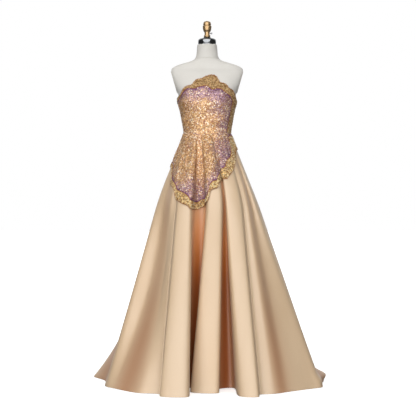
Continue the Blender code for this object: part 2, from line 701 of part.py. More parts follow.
def skirt(look, collection):
    """The gores, from the hem to the waist seam."""
    for name, start, end in GORES:
        t = fold_columns(start, end)
        low = [np.full(len(t), z) for z in LOW_LEVELS]
        edge = overlay_line("edge", t)
        middle = [low[-1] + (edge - low[-1]) * share for share in MIDDLE_SHARES]
        z = np.vstack(low + middle + list(hip_rows(t, SKIRT_TOP_Z)))
        grid = skirt_offset(t[None, :], z, 0.0, seam_shift(len(t), SEAM_GAP / 2, SEAM_GAP / 2))
        cloth(name, grid, SATIN, False, look, collection)


def overlay(look, lace_look, collection):
    """The sequinned overlay on the hips, and the lace border along its lower edge."""
    for name, start, end in HIP_PIECES:
        t = fold_columns(start, end)
        z = hip_rows(t, SKIRT_TOP_Z - OVERLAY_DROP)
        shift = seam_shift(len(t), SEAM_GAP, SEAM_GAP)
        grid = skirt_offset(t[None, :], z, LAYER_GAP, shift)
        cloth("overlay_" + name, grid, OVERLAY_CLOTH, True, look, collection)
        grid = skirt_offset(t[None, :], z[:2], LAYER_GAP + OVERLAY_CLOTH + HIP_TRIM_GAP, shift)
        cloth("lace_border_" + name, grid, LACE, True, lace_look, collection)


def zip_ridge(look, collection):
    """The closed zip, a narrow ridge on the centre back seam of the bodice. It gives its outer face at the slider."""
    levels = bodice_rows(np.array([180.0]))[:, 0]
    y = torso_offset(180.0, levels, FORM_GAP + SEQUIN_CLOTH + TRIM_GAP)[:, 1]
    levels[0] += SEAM_GAP
    grid = np.array([[(side * ZIP_HALF_WIDTH, y[k], z) for side in (1, 0, -1)] for k, z in enumerate(levels)])
    cloth("zip", grid, ZIP_THICKNESS, True, look, collection)
    return float(np.interp(SLIDER_Z, levels, y)) + ZIP_THICKNESS


def zip_slider(back_y, look, collection, cutters):
    """The slider at the top of the zip, with two ears that hold the pull. It gives the pull's pivot."""
    lean = 0.0012  # clears the bodice, which leans back towards its top
    low_y = back_y + TRIM_GAP + lean
    high_y = low_y + SLIDER_DEPTH
    half, tall = SLIDER_WIDTH / 2, SLIDER_HEIGHT / 2
    slider = box("zip_slider", (-half, low_y, SLIDER_Z - tall), (half, high_y, SLIDER_Z + tall))
    ears = []
    for side in (-1, 1):
        near = side * EAR_GAP / 2
        far = side * (EAR_GAP / 2 + EAR_WIDTH)
        low = (min(near, far), high_y - 0.0005, SLIDER_Z - EAR_HEIGHT / 2)
        high = (max(near, far), high_y + EAR_DEPTH, SLIDER_Z + EAR_HEIGHT / 2)
        ears.append(box(f"ear_{side}", low, high))
    join(slider, ears, cutters)
    finish(slider, look, collection)
    return (0.0, high_y + PULL_CLEARANCE + KNUCKLE_RADIUS, SLIDER_Z)


def zip_pull(pivot, look, collection, cutters):
    """The pull tab: a knuckle between the ears, and a plate that widens downwards. Its origin is on the pivot."""
    knuckle_length = EAR_GAP - 2 * PULL_CLEARANCE
    pull = rod("zip_pull", KNUCKLE_RADIUS, knuckle_length, (0, 0, 0), "X", 16)
    half, foot = PULL_WIDTH / 2, 0.002 - PULL_LENGTH
    neck = knuckle_length / 2 - 0.0002
    turn = np.linspace(math.pi, 2 * math.pi, 9)
    outline = [(-neck, 0), (-neck, -0.004), (-half, -0.009)]
    outline += [(half * math.cos(a), foot + 0.002 * math.sin(a)) for a in turn]
    outline += [(half, -0.009), (neck, -0.004), (neck, 0)]
    mesh = bpy.data.meshes.new("pull_plate")
    mesh.from_pydata([(x, 0, z) for x, z in outline], [], [range(len(outline))])
    plate = bpy.data.objects.new("pull_plate", mesh)
    wall = plate.modifiers.new("thickness", "SOLIDIFY")
    wall.thickness = PULL_THICKNESS
    wall.offset = 0
    bpy.context.scene.collection.objects.link(plate)
    pull.location = pivot
    plate.location = pivot
    join(pull, [plate], cutters)
    return finish(pull, look, collection)


def main():
    for old in list(bpy.data.objects):
        bpy.data.objects.remove(old)
    gown = bpy.data.collections.new("evening_gown")
    cutters = bpy.data.collections.new("helpers")
    bpy.context.scene.collection.children.link(gown)
    bpy.context.scene.collection.children.link(cutters)

    linen = material("linen", (0.72, 0.71, 0.67), 0.85)
    board = material("plate_board", (0.66, 0.64, 0.58), 0.6)
    chrome = material("chrome", (0.55, 0.55, 0.55), 0.12, 1.0)
    brass = material("brass", (0.60, 0.42, 0.20), 0.30, 1.0)
    black = material("black_metal", (0.03, 0.03, 0.03), 0.4, 0.6)
    satin = material("champagne_satin", (0.76, 0.58, 0.38), 0.38)
    sequins = material("sequin_cloth", (0.62, 0.42, 0.34), 0.35, 0.4)
    lace = material("gold_lace", (0.60, 0.38, 0.14), 0.45, 0.5)

    dress_form(linen, gown)
    for side in (-1, 1):
        arm_plate(side, board, gown)
    neck_cap(chrome, gown)
    finial_collar(black, gown)
    turned("finial", FINIAL, FINIAL_LOW_Z + COLLAR_HEIGHT + SEAM_GAP - FINIAL[-1].height, brass, gown)
    finial_screw(chrome, gown)
    stand_base(black, gown, cutters)
    pole_low, pole_high = HUB_HEIGHT + SEAM_GAP, TORSO[0].z - SOCKET_HEIGHT - 2 * SEAM_GAP
    pole_centre = (0, 0, (pole_low + pole_high) / 2)
    finish(rod("stand_pole", POLE_RADIUS, pole_high - pole_low, pole_centre, "Z"), chrome, gown)
    socket_centre = (0, 0, TORSO[0].z - SEAM_GAP - SOCKET_HEIGHT / 2)
    finish(rod("stand_socket", SOCKET_RADIUS, SOCKET_HEIGHT, socket_centre, "Z"), black, gown)

    bodice(sequins, gown)
    skirt(satin, gown)
    overlay(sequins, lace, gown)
    neckline_lace(lace, gown)
    side_lace(lace, gown)
    back_y = zip_ridge(satin, gown)
    pivot = zip_slider(back_y, brass, gown, cutters)
    zip_pull(pivot, brass, gown, cutters)


main()
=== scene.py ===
import math
from collections import namedtuple
from functools import partial

import bmesh
import bpy
import numpy as np
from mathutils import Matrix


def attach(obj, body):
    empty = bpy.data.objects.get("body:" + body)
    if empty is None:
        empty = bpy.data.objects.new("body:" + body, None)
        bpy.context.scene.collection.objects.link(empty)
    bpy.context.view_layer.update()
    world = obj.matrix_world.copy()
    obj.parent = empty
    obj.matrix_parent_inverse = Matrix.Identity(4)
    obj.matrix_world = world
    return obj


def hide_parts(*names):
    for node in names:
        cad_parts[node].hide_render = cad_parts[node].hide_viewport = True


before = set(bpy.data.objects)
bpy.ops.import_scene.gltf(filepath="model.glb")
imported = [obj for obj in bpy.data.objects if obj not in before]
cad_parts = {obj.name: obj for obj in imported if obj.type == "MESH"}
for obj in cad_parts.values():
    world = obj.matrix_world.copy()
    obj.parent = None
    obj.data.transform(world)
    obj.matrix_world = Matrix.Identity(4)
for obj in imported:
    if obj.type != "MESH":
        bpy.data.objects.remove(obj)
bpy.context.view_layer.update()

BODY = "gown_on_form"

# Levels, cloth thicknesses and gaps, as in the solids
WAIST_Z, HIP_Z, HEM_Z = 1.250, 0.860, 0.002
SATIN, SEQUIN_CLOTH, OVERLAY_CLOTH, LACE = 0.0020, 0.0020, 0.0015, 0.0012
FORM_GAP, LAYER_GAP, SEAM_GAP = 0.0022, 0.0016, 0.0005
TRIM_GAP, SIDE_TRIM_GAP, HIP_TRIM_GAP = 0.0007, 0.0012, 0.0010


def table(columns, *rows):
    """Rows of values, which are read by the names of their columns."""
    kind = namedtuple("Row", columns)
    return [kind(*row) for row in rows]


# The torso of the dress form, a row for each level
TORSO = table(
    "z half_width front back squareness",
    (0.93, 0.15, 0.1, 0.108, 2.2), (0.945, 0.157, 0.104, 0.116, 2.2), (1.06, 0.162, 0.108, 0.126, 2.2),
    (1.15, 0.143, 0.102, 0.106, 2.1), (1.25, 0.113, 0.088, 0.077, 2.1), (1.32, 0.123, 0.096, 0.083, 2.1),
    (1.37, 0.1328, 0.104, 0.091, 2.1), (1.405, 0.1425, 0.108, 0.098, 2.1), (1.44, 0.146, 0.107, 0.102, 2.3),
    (1.5, 0.172, 0.092, 0.103, 2.5), (1.55, 0.184, 0.07, 0.092, 2.6), (1.5755, 0.1765, 0.052, 0.078, 2.5),
    (1.592, 0.15, 0.048, 0.071, 2.4), (1.605, 0.109, 0.047, 0.066, 2.2), (1.62, 0.067, 0.048, 0.062, 2.1),
    (1.632, 0.0575, 0.048, 0.058, 2), (1.65, 0.053, 0.047, 0.052, 2), (1.695, 0.049, 0.0465, 0.047, 2),
)

# Bust cups on the form: bearing, level, height, and how far they reach in degrees and metres
CUP_BEARING, CUP_Z, CUP_HEIGHT, CUP_DEG, CUP_REACH = 33, 1.400, 0.014, 23, 0.042

# The plates that close the form's arm ends lie on a plane that leans out upwards
PLATE_LOW_X, PLATE_LOW_Z = 0.1420, 1.440
PLATE_LEAN = 0.286  # metres out for each metre up
PLATE_Y, PLATE_CENTRE_Z = 0.006, 1.510
PLATE_HALF_DEPTH, PLATE_HALF_HEIGHT, PLATE_THICKNESS = 0.040, 0.058, 0.0035

# Neckline: top of the lace, and the line where the lace stops on the sequinned cloth
NECKLINE = table(
    "bearing top inner",
    (-180, 1.398, 1.366), (-150, 1.404, 1.37), (-120, 1.414, 1.386), (-96, 1.422, 1.4), (-80, 1.428, 1.41),
    (-68, 1.435, 1.42), (-57, 1.446, 1.434), (-48, 1.462, 1.45), (-42, 1.471, 1.457), (-36, 1.478, 1.466),
    (-29, 1.483, 1.469), (-22.5, 1.486, 1.465), (-17, 1.5, 1.466), (-12, 1.513, 1.473), (-8, 1.515, 1.475),
    (-5, 1.518, 1.477), (-1, 1.528, 1.479), (3, 1.536, 1.467), (7, 1.534, 1.459), (11, 1.523, 1.462),
    (14, 1.509, 1.466), (17.5, 1.498, 1.465), (24, 1.494, 1.46), (30, 1.487, 1.451), (37.5, 1.472, 1.441),
    (47.5, 1.465, 1.429), (57.5, 1.453, 1.404), (67, 1.438, 1.394), (74.5, 1.422, 1.384),
    (90, 1.412, 1.378), (120, 1.41, 1.38), (150, 1.402, 1.37), (180, 1.398, 1.366),
)
BODICE_SEAMS = [
    ("bodice_back_right", -180, -92),
    ("bodice_side_right", -92, -42),
    ("bodice_front", -42, 42),
    ("bodice_side_left", 42, 92),
    ("bodice_back_left", 92, 180),
]

# Lace strip down the wearer's left side, with scalloped long edges
SIDE_STRIP_FRONT, SIDE_STRIP_BACK = 56.5, 103.0
SIDE_SCALLOP_DEG, SIDE_STRIP_LENGTH = 1.8, 0.175

# Skirt folds: a row for each line that runs from waist to hem, in order round the body from the centre back.
# waist is its bearing at the waist. hip_x to hem_y are its place at HIP_Z and at the hem.
# sweep is how much the line curves out into the train. bulge is how far it swells out near the floor.
FOLDS = table(
    "name waist hip_x hip_y hem_x hem_y sweep bulge",
    ("back_seam", -180, 0, 0.205, 0, 0.64, 0.45, 0),
    ("train_right_crest", -160, -0.055, 0.238, -0.13, 0.725, 0.45, 0.008),
    ("train_right_valley", -147, -0.092, 0.185, -0.235, 0.545, 0.4, 0),
    ("back_right_crest", -134, -0.14, 0.212, -0.385, 0.565, 0.4, 0.008),
    ("back_right_valley", -122, -0.165, 0.15, -0.44, 0.37, 0.4, 0),
    ("flare_crest", -110, -0.208, 0.145, -0.592, 0.28, 0.8, 0),
    ("flare_valley", -98, -0.228, 0.07, -0.522, 0.105, 0.1, 0),
    ("right_crest", -84, -0.26, -0.024, -0.5, -0.092, 0, 0),
    ("right_front_crest", -74, -0.22, -0.074, -0.455, -0.158, 0.65, 0),
    ("right_valley", -56, -0.181, -0.162, -0.33, -0.302, 0.65, 0),
    ("right_seam", -42, -0.157, -0.19, -0.222, -0.34, 0, 0),
    ("fold1_right", -36, -0.14, -0.216, -0.218, -0.412, 0, 0),
    ("fold1_left", -27, -0.084, -0.235, -0.09, -0.43, 0, 0),
    ("gap1_right", -22, -0.058, -0.145, -0.094, -0.165, 0, 0),
    ("gap1_left", -14, -0.012, -0.14, -0.046, -0.13, 0, 0),
    ("fold2_right", -8, 0.002, -0.244, -0.073, -0.286, 0, 0),
    ("fold2_left", 6, 0.068, -0.246, 0.05, -0.314, 0, 0),
    ("gap2_right", 11, 0.079, -0.18, 0.06, -0.172, 0, 0),
    ("gap2_left", 16, 0.094, -0.178, 0.122, -0.144, 0, 0),
    ("fold3_right", 22, 0.1, -0.226, 0.156, -0.412, 0, 0),
    ("fold3_left", 37, 0.163, -0.21, 0.236, -0.43, 0, 0),
    ("left_seam", 43, 0.179, -0.178, 0.252, -0.352, 0, 0),
    ("left_front_crest", 51, 0.202, -0.168, 0.322, -0.328, 0, 0),
    ("left_valley", 62, 0.229, -0.094, 0.398, -0.262, 0, 0),
    ("left_side_crest", 73, 0.251, -0.08, 0.522, -0.16, 0, 0),
    ("left_crest", 86, 0.272, 0.002, 0.565, -0.122, 0.05, 0.008),
    ("roll_valley", 100, 0.232, 0.08, 0.572, 0.005, 0.2, 0.014),
    ("roll_crest", 110, 0.212, 0.15, 0.585, 0.125, 0.5, 0.042),
    ("back_left_valley", 122, 0.165, 0.158, 0.47, 0.3, 0.4, 0),
    ("back_left_crest", 135, 0.135, 0.215, 0.425, 0.54, 0.4, 0.008),
    ("train_left_valley", 147, 0.092, 0.185, 0.26, 0.535, 0.4, 0),
    ("train_left_crest", 160, 0.055, 0.238, 0.165, 0.72, 0.45, 0.008),
)
BULGE_Z, BULGE_REACH = 0.036, 0.024  # level and half-height of the bulge near the floor
WAIST_FLARE = 0.95  # how much steeper the skirt leaves the waist than its mean slope down to the hip
HIP_CLEARANCE = 0.0050  # form to the skirt's outer face, where the skirt lies on the hips
HIP_FADE_Z = 0.80

# Overlay on the hips: its lower edge, and the line where its lace border stops, by waist bearing
OVERLAY = table(
    "waist edge inner",
    (-180, 1.085, 1.132), (-150, 1.108, 1.15), (-120, 1.104, 1.144), (-95, 1.092, 1.12),
    (-84, 1.084, 1.106), (-76, 1.072, 1.094), (-71.5, 1.045, 1.068), (-68, 1.01, 1.038),
    (-65.5, 0.992, 1.024), (-56, 0.978, 1.006), (-50.5, 0.963, 0.994), (-45.5, 0.938, 0.976),
    (-40.5, 0.919, 0.967), (-36, 0.909, 0.961), (-32.6, 0.899, 0.953), (-29, 0.889, 0.939),
    (-26.5, 0.874, 0.916), (-21, 0.872, 0.909), (-17, 0.88, 0.922), (-13.4, 0.89, 0.926),
    (-9.5, 0.904, 0.934), (-8, 0.912, 0.945), (-5, 0.962, 0.993), (-1, 0.971, 1.009), (3.6, 0.976, 1.014),
    (5.8, 1, 1.036), (8, 1.006, 1.046), (14, 1.012, 1.058), (21, 1.018, 1.071), (26.5, 1.02, 1.08),
    (29.5, 1.032, 1.098), (32.5, 1.042, 1.115), (39, 1.064, 1.128), (47, 1.09, 1.152), (50, 1.1, 1.17),
    (53, 1.112, 1.215), (56, 1.122, 1.232), (62, 1.142, 1.238), (68, 1.159, 1.238), (90, 1.17, 1.238),
    (102, 1.16, 1.238), (106, 1.15, 1.2), (124, 1.122, 1.166), (150, 1.11, 1.152), (180, 1.085, 1.132),
)
SKIRT_TOP_Z = WAIST_Z - SEAM_GAP / 2
BODICE_LOW_Z = WAIST_Z + SEAM_GAP / 2
OVERLAY_DROP = 0.0018  # keeps the thickness of the overlay's top edge, which leans out, below the bodice

# Closed zip down the centre back, and its slider
ZIP_HALF_WIDTH, SLIDER_Z = 0.0020, 1.378

# Neck cap. A row of its side says how far it lies in and up. A row of its dome is in shares of its radius
# and its rise.
CAP_RADIUS, CAP_LOW_Z, CAP_SIDE_TOP_Z, CAP_TOP_Z = 0.0450, 1.6953, 1.7190, 1.7290
CAP_SIDE = [(0.0012, 0.0), (0.0, 0.001), (0.0, 0.004), (0.0007, 0.0047), (0.0007, 0.0054), (0.0, 0.0061)]
CAP_DOME = [(0.955, 0.30), (0.90, 0.48), (0.82, 0.64), (0.70, 0.80), (0.52, 0.93), (0.30, 0.99)]

# Turned finial from the top down, its collar, and its screw, which both have rows of radius and height
FINIAL_LOW_Z = CAP_TOP_Z + SEAM_GAP
FINIAL = table(
    "radius height",
    (0, 0.086), (0.008, 0.0852), (0.015, 0.0815), (0.0186, 0.075), (0.0197, 0.067), (0.0188, 0.063),
    (0.0222, 0.0585), (0.0214, 0.05), (0.0196, 0.04), (0.016, 0.032), (0.0136, 0.0295), (0.0128, 0.021),
    (0.0134, 0.015), (0.0162, 0.0125), (0.0166, 0.008), (0.0148, 0.005),
)
COLLAR_RADIUS, COLLAR_HEIGHT = 0.0190, 0.0042
COLLAR = [(COLLAR_RADIUS - 0.0006, 0.0), (COLLAR_RADIUS, 0.0005), (COLLAR_RADIUS, 0.0017)]
COLLAR += [(COLLAR_RADIUS * 0.95, 0.0026), (COLLAR_RADIUS * 0.8, COLLAR_HEIGHT), (0.006, COLLAR_HEIGHT)]
SCREW_RADIUS, SCREW_LENGTH, SCREW_Z = 0.0042, 0.0120, 1.7530
SCREW_SEAT_X = 0.0139  # just off the finial's stem
SCREW = [(0.0020, 0.0), (0.0020, 0.0040), (0.0036, 0.0042), (SCREW_RADIUS, 0.0048), (SCREW_RADIUS, 0.0112)]
SCREW += [(0.0038, 0.0119), (0.0016, 0.0120)]


def cubic(start, end, leave, arrive, s):
    """A cubic from start to end as s goes from 0 to 1, with its slopes at both."""
    share = s * s * (3 - 2 * s)
    leaving = start * (1 + 2 * s) * (1 - s) ** 2 + leave * s * (1 - s) ** 2
    return leaving + end * share + arrive * s * s * (s - 1)


def both(a, z):
    """Two numbers or arrays as arrays of the same shape."""
    return np.broadcast_arrays(np.asarray(a, float), np.asarray(z, float))


def column_of(rows, name):
    return [getattr(row, name) for row in rows]


def smooth_through(knots, values, x):
    """A curve through the values that never overshoots them."""
    knots, values, x = (np.asarray(a, float) for a in (knots, values, x))
    steps = np.diff(knots)
    slopes = np.diff(values) / steps
    product, total = slopes[:-1] * slopes[1:], slopes[:-1] + slopes[1:]
    inner = np.where(product > 0, 2 * product / (total + 1e-30), 0.0)
    tangents = np.concatenate([slopes[:1], inner, slopes[-1:]])
    i = np.clip(np.searchsorted(knots, x, side="right") - 1, 0, len(steps) - 1)
    h = steps[i]
    s = np.clip((x - knots[i]) / h, 0, 1)
    return cubic(values[i], values[i + 1], h * tangents[i], h * tangents[i + 1], s)


def closed_spline(points, t):
    """A smooth closed curve through the points. t counts them, and whole numbers lie on them."""
    points = np.asarray(points, float)
    count = len(points)
    reach = np.sqrt(np.linalg.norm(np.roll(points, -1, axis=0) - points, axis=1))[:, None]
    before = np.roll(reach, 1, axis=0)
    back = np.roll(points, 1, axis=0)
    ahead = np.roll(points, -1, axis=0)
    tangent = (points - back) / before - (ahead - back) / (before + reach) + (ahead - points) / reach
    t = np.asarray(t, float)
    i = np.floor(t).astype(int)
    s = (t - i)[:, None]
    a, b = i % count, (i + 1) % count
    h = reach[a]
    return cubic(points[a], points[b], h * tangent[a], h * tangent[b], s)


def torso_column(name, z):
    return smooth_through(column_of(TORSO, "z"), column_of(TORSO, name), z)


def torso_surface(bearing, z):
    """Points of the dress form's surface, for arrays of bearings and levels."""
    bearing, z = both(bearing, z)
    angle = np.radians(bearing)
    power = 2 / torso_column("squareness", z)
    side = np.sign(np.sin(angle)) * np.abs(np.sin(angle)) ** power
    ahead = np.sign(np.cos(angle)) * np.abs(np.cos(angle)) ** power
    depth = np.where(ahead > 0, torso_column("front", z), torso_column("back", z))
    turn = (np.abs(bearing) - CUP_BEARING) / CUP_DEG
    rise = (z - CUP_Z) / CUP_REACH
    cup = CUP_HEIGHT * np.exp(-(turn**2) - rise**2)
    x = side * torso_column("half_width", z) + cup * np.sin(angle) * 0.5
    y = -ahead * depth - cup * np.cos(angle)
    flat = PLATE_LOW_X + (z - PLATE_LOW_Z) * PLATE_LEAN
    x = np.where(z >= PLATE_LOW_Z, np.clip(x, -flat, flat), x)
    return np.stack([x, y, z], axis=-1)


def unit(vectors):
    return vectors / np.linalg.norm(vectors, axis=-1, keepdims=True)


def layered(out):
    """A distance, or a distance for each point, ready to multiply vectors."""
    out = np.asarray(out, float)
    return out[..., None] if out.ndim else out


def torso_offset(bearing, z, out):
    """Points that lie a distance out from the form's surface."""
    bearing, z = both(bearing, z)
    turn, rise = 0.5, 0.002
    along = torso_surface(bearing + turn, z) - torso_surface(bearing - turn, z)
    up = torso_surface(bearing, z + rise) - torso_surface(bearing, z - rise)
    return torso_surface(bearing, z) + unit(np.cross(along, up)) * layered(out)


def fold_index(name):
    return column_of(FOLDS, "name").index(name)


def fold_value(column, t):
    """A column of the fold table between its rows, read smoothly round the skirt."""
    values = [[getattr(fold, column), 0.0] for fold in FOLDS]
    return closed_spline(np.array(values) + [[0, 1e-9 * i] for i in range(len(FOLDS))], t)[:, 0]


def waist_bearing(t):
    """The bearing at the waist of each t, which counts the fold lines."""
    knots = np.arange(len(FOLDS) + 1)
    return smooth_through(knots, column_of(FOLDS, "waist") + [180.0], t)


def skirt_surface(t, z):
    """Points of the skirt's outer face, for arrays of fold counts and levels."""
    t, z = both(t, z)
    shape = t.shape
    t, z = t.ravel(), z.ravel()
    waist = torso_offset(waist_bearing(t % len(FOLDS)), WAIST_Z, FORM_GAP + SATIN)[:, :2]
    hip = closed_spline([(fold.hip_x, fold.hip_y) for fold in FOLDS], t)
    hem = closed_spline([(fold.hem_x, fold.hem_y) for fold in FOLDS], t)
    sweep = fold_value("sweep", t)[:, None]
    bulge = fold_value("bulge", t)[:, None]
    upper = WAIST_Z - HIP_Z
    s = np.clip((WAIST_Z - z) / upper, 0, 1)[:, None]
    leave = WAIST_FLARE * (hip - waist)
    arrive = (hem - hip) * (1 - sweep) * upper / HIP_Z
    above = cubic(waist, hip, leave, arrive, s)
    q = np.clip(1 - z / HIP_Z, 0, 1)[:, None]
    swell = unit(hem) * bulge * np.exp(-(((z - BULGE_Z) / BULGE_REACH) ** 2))[:, None]
    below = hip + (hem - hip) * ((1 - sweep) * q + sweep * q * q) + swell
    plan = np.where(z[:, None] >= HIP_Z, above, below)
    depth = np.where(plan[:, 1] < 0, torso_column("front", z), torso_column("back", z))
    power = torso_column("squareness", z)
    size = (np.abs(plan[:, 0]) / torso_column("half_width", z)) ** power
    size = size + (np.abs(plan[:, 1]) / depth) ** power
    rest = np.clip((z - HIP_FADE_Z) / (TORSO[0].z - HIP_FADE_Z), 0, 1)
    needed = rest * (1 + HIP_CLEARANCE / np.hypot(plan[:, 0], plan[:, 1]))
    plan = plan * np.maximum(1, needed / size ** (1 / power))[:, None]
    return np.column_stack([plan, z]).reshape(shape + (3,))


def skirt_offset(t, z, out, shift=0.0):
    """Points a distance out from the skirt's outer face, moved along it by shift."""
    t, z = both(t, z)
    turn, rise = 0.02, 0.002
    along = unit(skirt_surface(t + turn, z) - skirt_surface(t - turn, z))
    up = skirt_surface(t, z + rise) - skirt_surface(t, z - rise)
    return skirt_surface(t, z) + unit(np.cross(along, up)) * layered(out) + along * shift


def neckline_line(column, bearing):
    return smooth_through(column_of(NECKLINE, "bearing"), column_of(NECKLINE, column), bearing)


def overlay_line(column, t):
    """A column of the overlay table at each t."""
    return smooth_through(column_of(OVERLAY, "waist"), column_of(OVERLAY, column), waist_bearing(t))


# Fine forms of the cloth

FOLD_COUNT = len(FOLDS)


def srgb(red, green, blue):
    """A colour from 0 to 255 values, as Blender's linear ones."""
    shares = (red / 255, green / 255, blue / 255)
    return tuple(c / 12.92 if c <= 0.04045 else ((c + 0.055) / 1.055) ** 2.4 for c in shares)


def bump(x, centre, reach):
    return np.exp(-(((np.asarray(x) - centre) / reach) ** 2))


def ramp(x, start, end):
    s = np.clip((np.asarray(x, float) - start) / (end - start), 0, 1)
    return s * s * (3 - 2 * s)


def wave_noise(a, b, seed):
    """A smooth field between about -1 and 1, from a few waves at fixed odd angles."""
    draw = np.random.default_rng(seed)
    total = np.zeros(np.broadcast(a, b).shape)
    for _ in range(7):
        angle, phase, pitch = draw.uniform(0, math.pi), draw.uniform(0, 2 * math.pi), draw.uniform(0.6, 1.7)
        total = total + np.sin((a * math.cos(angle) + b * math.sin(angle)) * pitch + phase)
    return total / 3.5


PLEAT_X, PLEAT_Z = -0.150, 1.228  # the draped pleats of the bodice fan out from here
PLEATS_IN_TURN, PLEAT_HEIGHT, PRINCESS_SEAM_DEPTH = 17, 0.0042, 0.0007


def bodice_relief(bearing, z):
    """How far the draped pleats stand proud, by bearing and level."""
    bearing, z = both(bearing, z)
    x = np.sin(np.radians(bearing)) * 0.13
    angle = np.degrees(np.arctan2(z - PLEAT_Z, x - PLEAT_X))
    reach = np.hypot(x - PLEAT_X, z - PLEAT_Z)
    fold = 0.5 + 0.5 * np.sin(np.radians(angle) * PLEATS_IN_TURN + 1.6 * wave_noise(x * 14, z * 20, 3))
    near = ramp(reach, 0.02, 0.13)
    lace = neckline_line("inner", bearing)
    edge = ramp(z, WAIST_Z + 0.002, WAIST_Z + 0.018) * (1 - ramp(z, lace - 0.016, lace))
    front = (1 - ramp(bearing, 52, 60)) * (1 - ramp(-bearing, 76, 92))
    seams = sum(bump(bearing, at, 1.6) for at in (-42, 42))
    return (PLEAT_HEIGHT * fold**1.4 * near * edge - PRINCESS_SEAM_DEPTH * seams * edge) * front


def bodice_point(bearing, z, out):
    """Points a distance out from the outer face of the bodice's plain cloth."""
    bearing, z = both(bearing, z)
    return torso_offset(bearing, z, FORM_GAP + SEQUIN_CLOTH + bodice_relief(bearing, z) + out)


def skirt_relief(t, z):
    """Slow undulations of the satin along its folds."""
    low = 1 - ramp(z, 0.95, 1.20)
    return 0.0022 * low * wave_noise(t * 2.1, z * 5.0, 11) + 0.0012 * low * wave_noise(t * 4.7, z * 3.0, 12)


def skirt_point(t, z, out, shift=0.0):
    return skirt_offset(t, z, skirt_relief(t, z) + out, shift)


def overlay_relief(t, z):
    """Ridges that hang from the overlay's waist seam, and its small wrinkles."""
    t, z = both(t, z)
    place = skirt_surface(t, z)
    x, ahead = place[..., 0], place[..., 1] < 0
    drop = WAIST_Z - z
    down = ramp(drop, 0.02, 0.13)
    ridges = 0.0036 * bump(x, -0.068 - 0.02 * drop, 0.010) + 0.0030 * bump(x, 0.020 + 0.06 * drop, 0.011)
    ridges = ridges - 0.0020 * bump(x, -0.046, 0.010) - 0.0014 * bump(x, 0.044, 0.011)
    wrinkles = 0.0011 * wave_noise(t * 5.0, z * 34, 21) + 0.0009 * wave_noise(t * 9.0, z * 60, 22)
    clear = ramp(z, overlay_line("inner", t) - 0.004, overlay_line("inner", t) + 0.03)
    return (np.where(ahead, ridges, 0.0) * down + (wrinkles + 0.0010) * down) * clear


def hip_point(t, z, out, shift=0.0):
    """Points a distance out from the overlay's outer face."""
    return skirt_offset(t, z, LAYER_GAP + OVERLAY_CLOTH + overlay_relief(t, z) + out, shift)


def frame_of(point, a, z, da, dz):
    """Place, direction along the row, and normal of a surface at each a and z."""
    place = point(a, z, 0.0)
    along = unit(point(a + da, z, 0.0) - point(a - da, z, 0.0))
    up = point(a, z + dz, 0.0) - point(a, z - dz, 0.0)
    normal = unit(np.cross(along, up))
    return place, along, normal


# Meshes


def mesh_of(name, points, faces, look, smooth=True):
    """An object from arrays of points and of faces, which all have the same number of corners."""
    points, faces = np.asarray(points, float).reshape(-1, 3), np.asarray(faces, int)
    mesh = bpy.data.meshes.new(name)
    count, corners = faces.shape
    mesh.vertices.add(len(points))
    mesh.vertices.foreach_set("co", points.astype(np.float32).ravel())
    mesh.loops.add(count * corners)
    mesh.loops.foreach_set("vertex_index", faces.astype(np.int32).ravel())
    mesh.polygons.add(count)
    mesh.polygons.foreach_set("loop_start", np.arange(0, count * corners, corners, dtype=np.int32))
    mesh.polygons.foreach_set("loop_total", np.full(count, corners, dtype=np.int32))
    mesh.polygons.foreach_set("use_smooth", np.full(count, smooth))
    mesh.update(calc_edges=True)
    mesh.validate()
    mesh.materials.append(look)
    obj = bpy.data.objects.new(name, mesh)
    bpy.context.scene.collection.objects.link(obj)
    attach(obj, BODY)
    return obj


def stand_for(piece, slot, *nodes):
    """Hides the solids that a piece replaces, and returns the piece. The slot is not used."""
    if nodes:
        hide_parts(*nodes)
    return piece


def sealed(obj):
    """Closes each open rim of a piece with a flat face, and turns all faces outwards."""
    made = bmesh.new()
    made.from_mesh(obj.data)
    rims = [edge for edge in made.edges if edge.is_boundary]
    caps = bmesh.ops.holes_fill(made, edges=rims, sides=0)["faces"]
    bmesh.ops.recalc_face_normals(made, faces=made.faces[:])
    for face in caps:
        face.smooth = False
    made.to_mesh(obj.data)
    made.free()
    return obj


def paint(obj, name, values):
    """A number for each point, which the materials read by name."""
    layer = obj.data.attributes.new(name, "FLOAT", "POINT")
    layer.data.foreach_set("value", np.asarray(values, np.float32).ravel())


def paint_wall(obj, name, values):
    """The same for a cloth wall, whose inner face has the numbers of its outer one."""
    values = np.asarray(values, float).ravel()
    paint(obj, name, np.concatenate([values, values]))


def grid_faces(rows, columns, start=0, wrap=False):
    r, c = np.meshgrid(np.arange(rows - 1), np.arange(columns if wrap else columns - 1), indexing="ij")
    row, above, ahead = r * columns, (r + 1) * columns, (c + 1) % columns
    return np.stack([row + c, row + ahead, above + ahead, above + c], -1).reshape(-1, 4) + start


def normals_of(grid):
    along, up = np.gradient(grid, axis=1), np.gradient(grid, axis=0)
    return unit(np.cross(along, up))


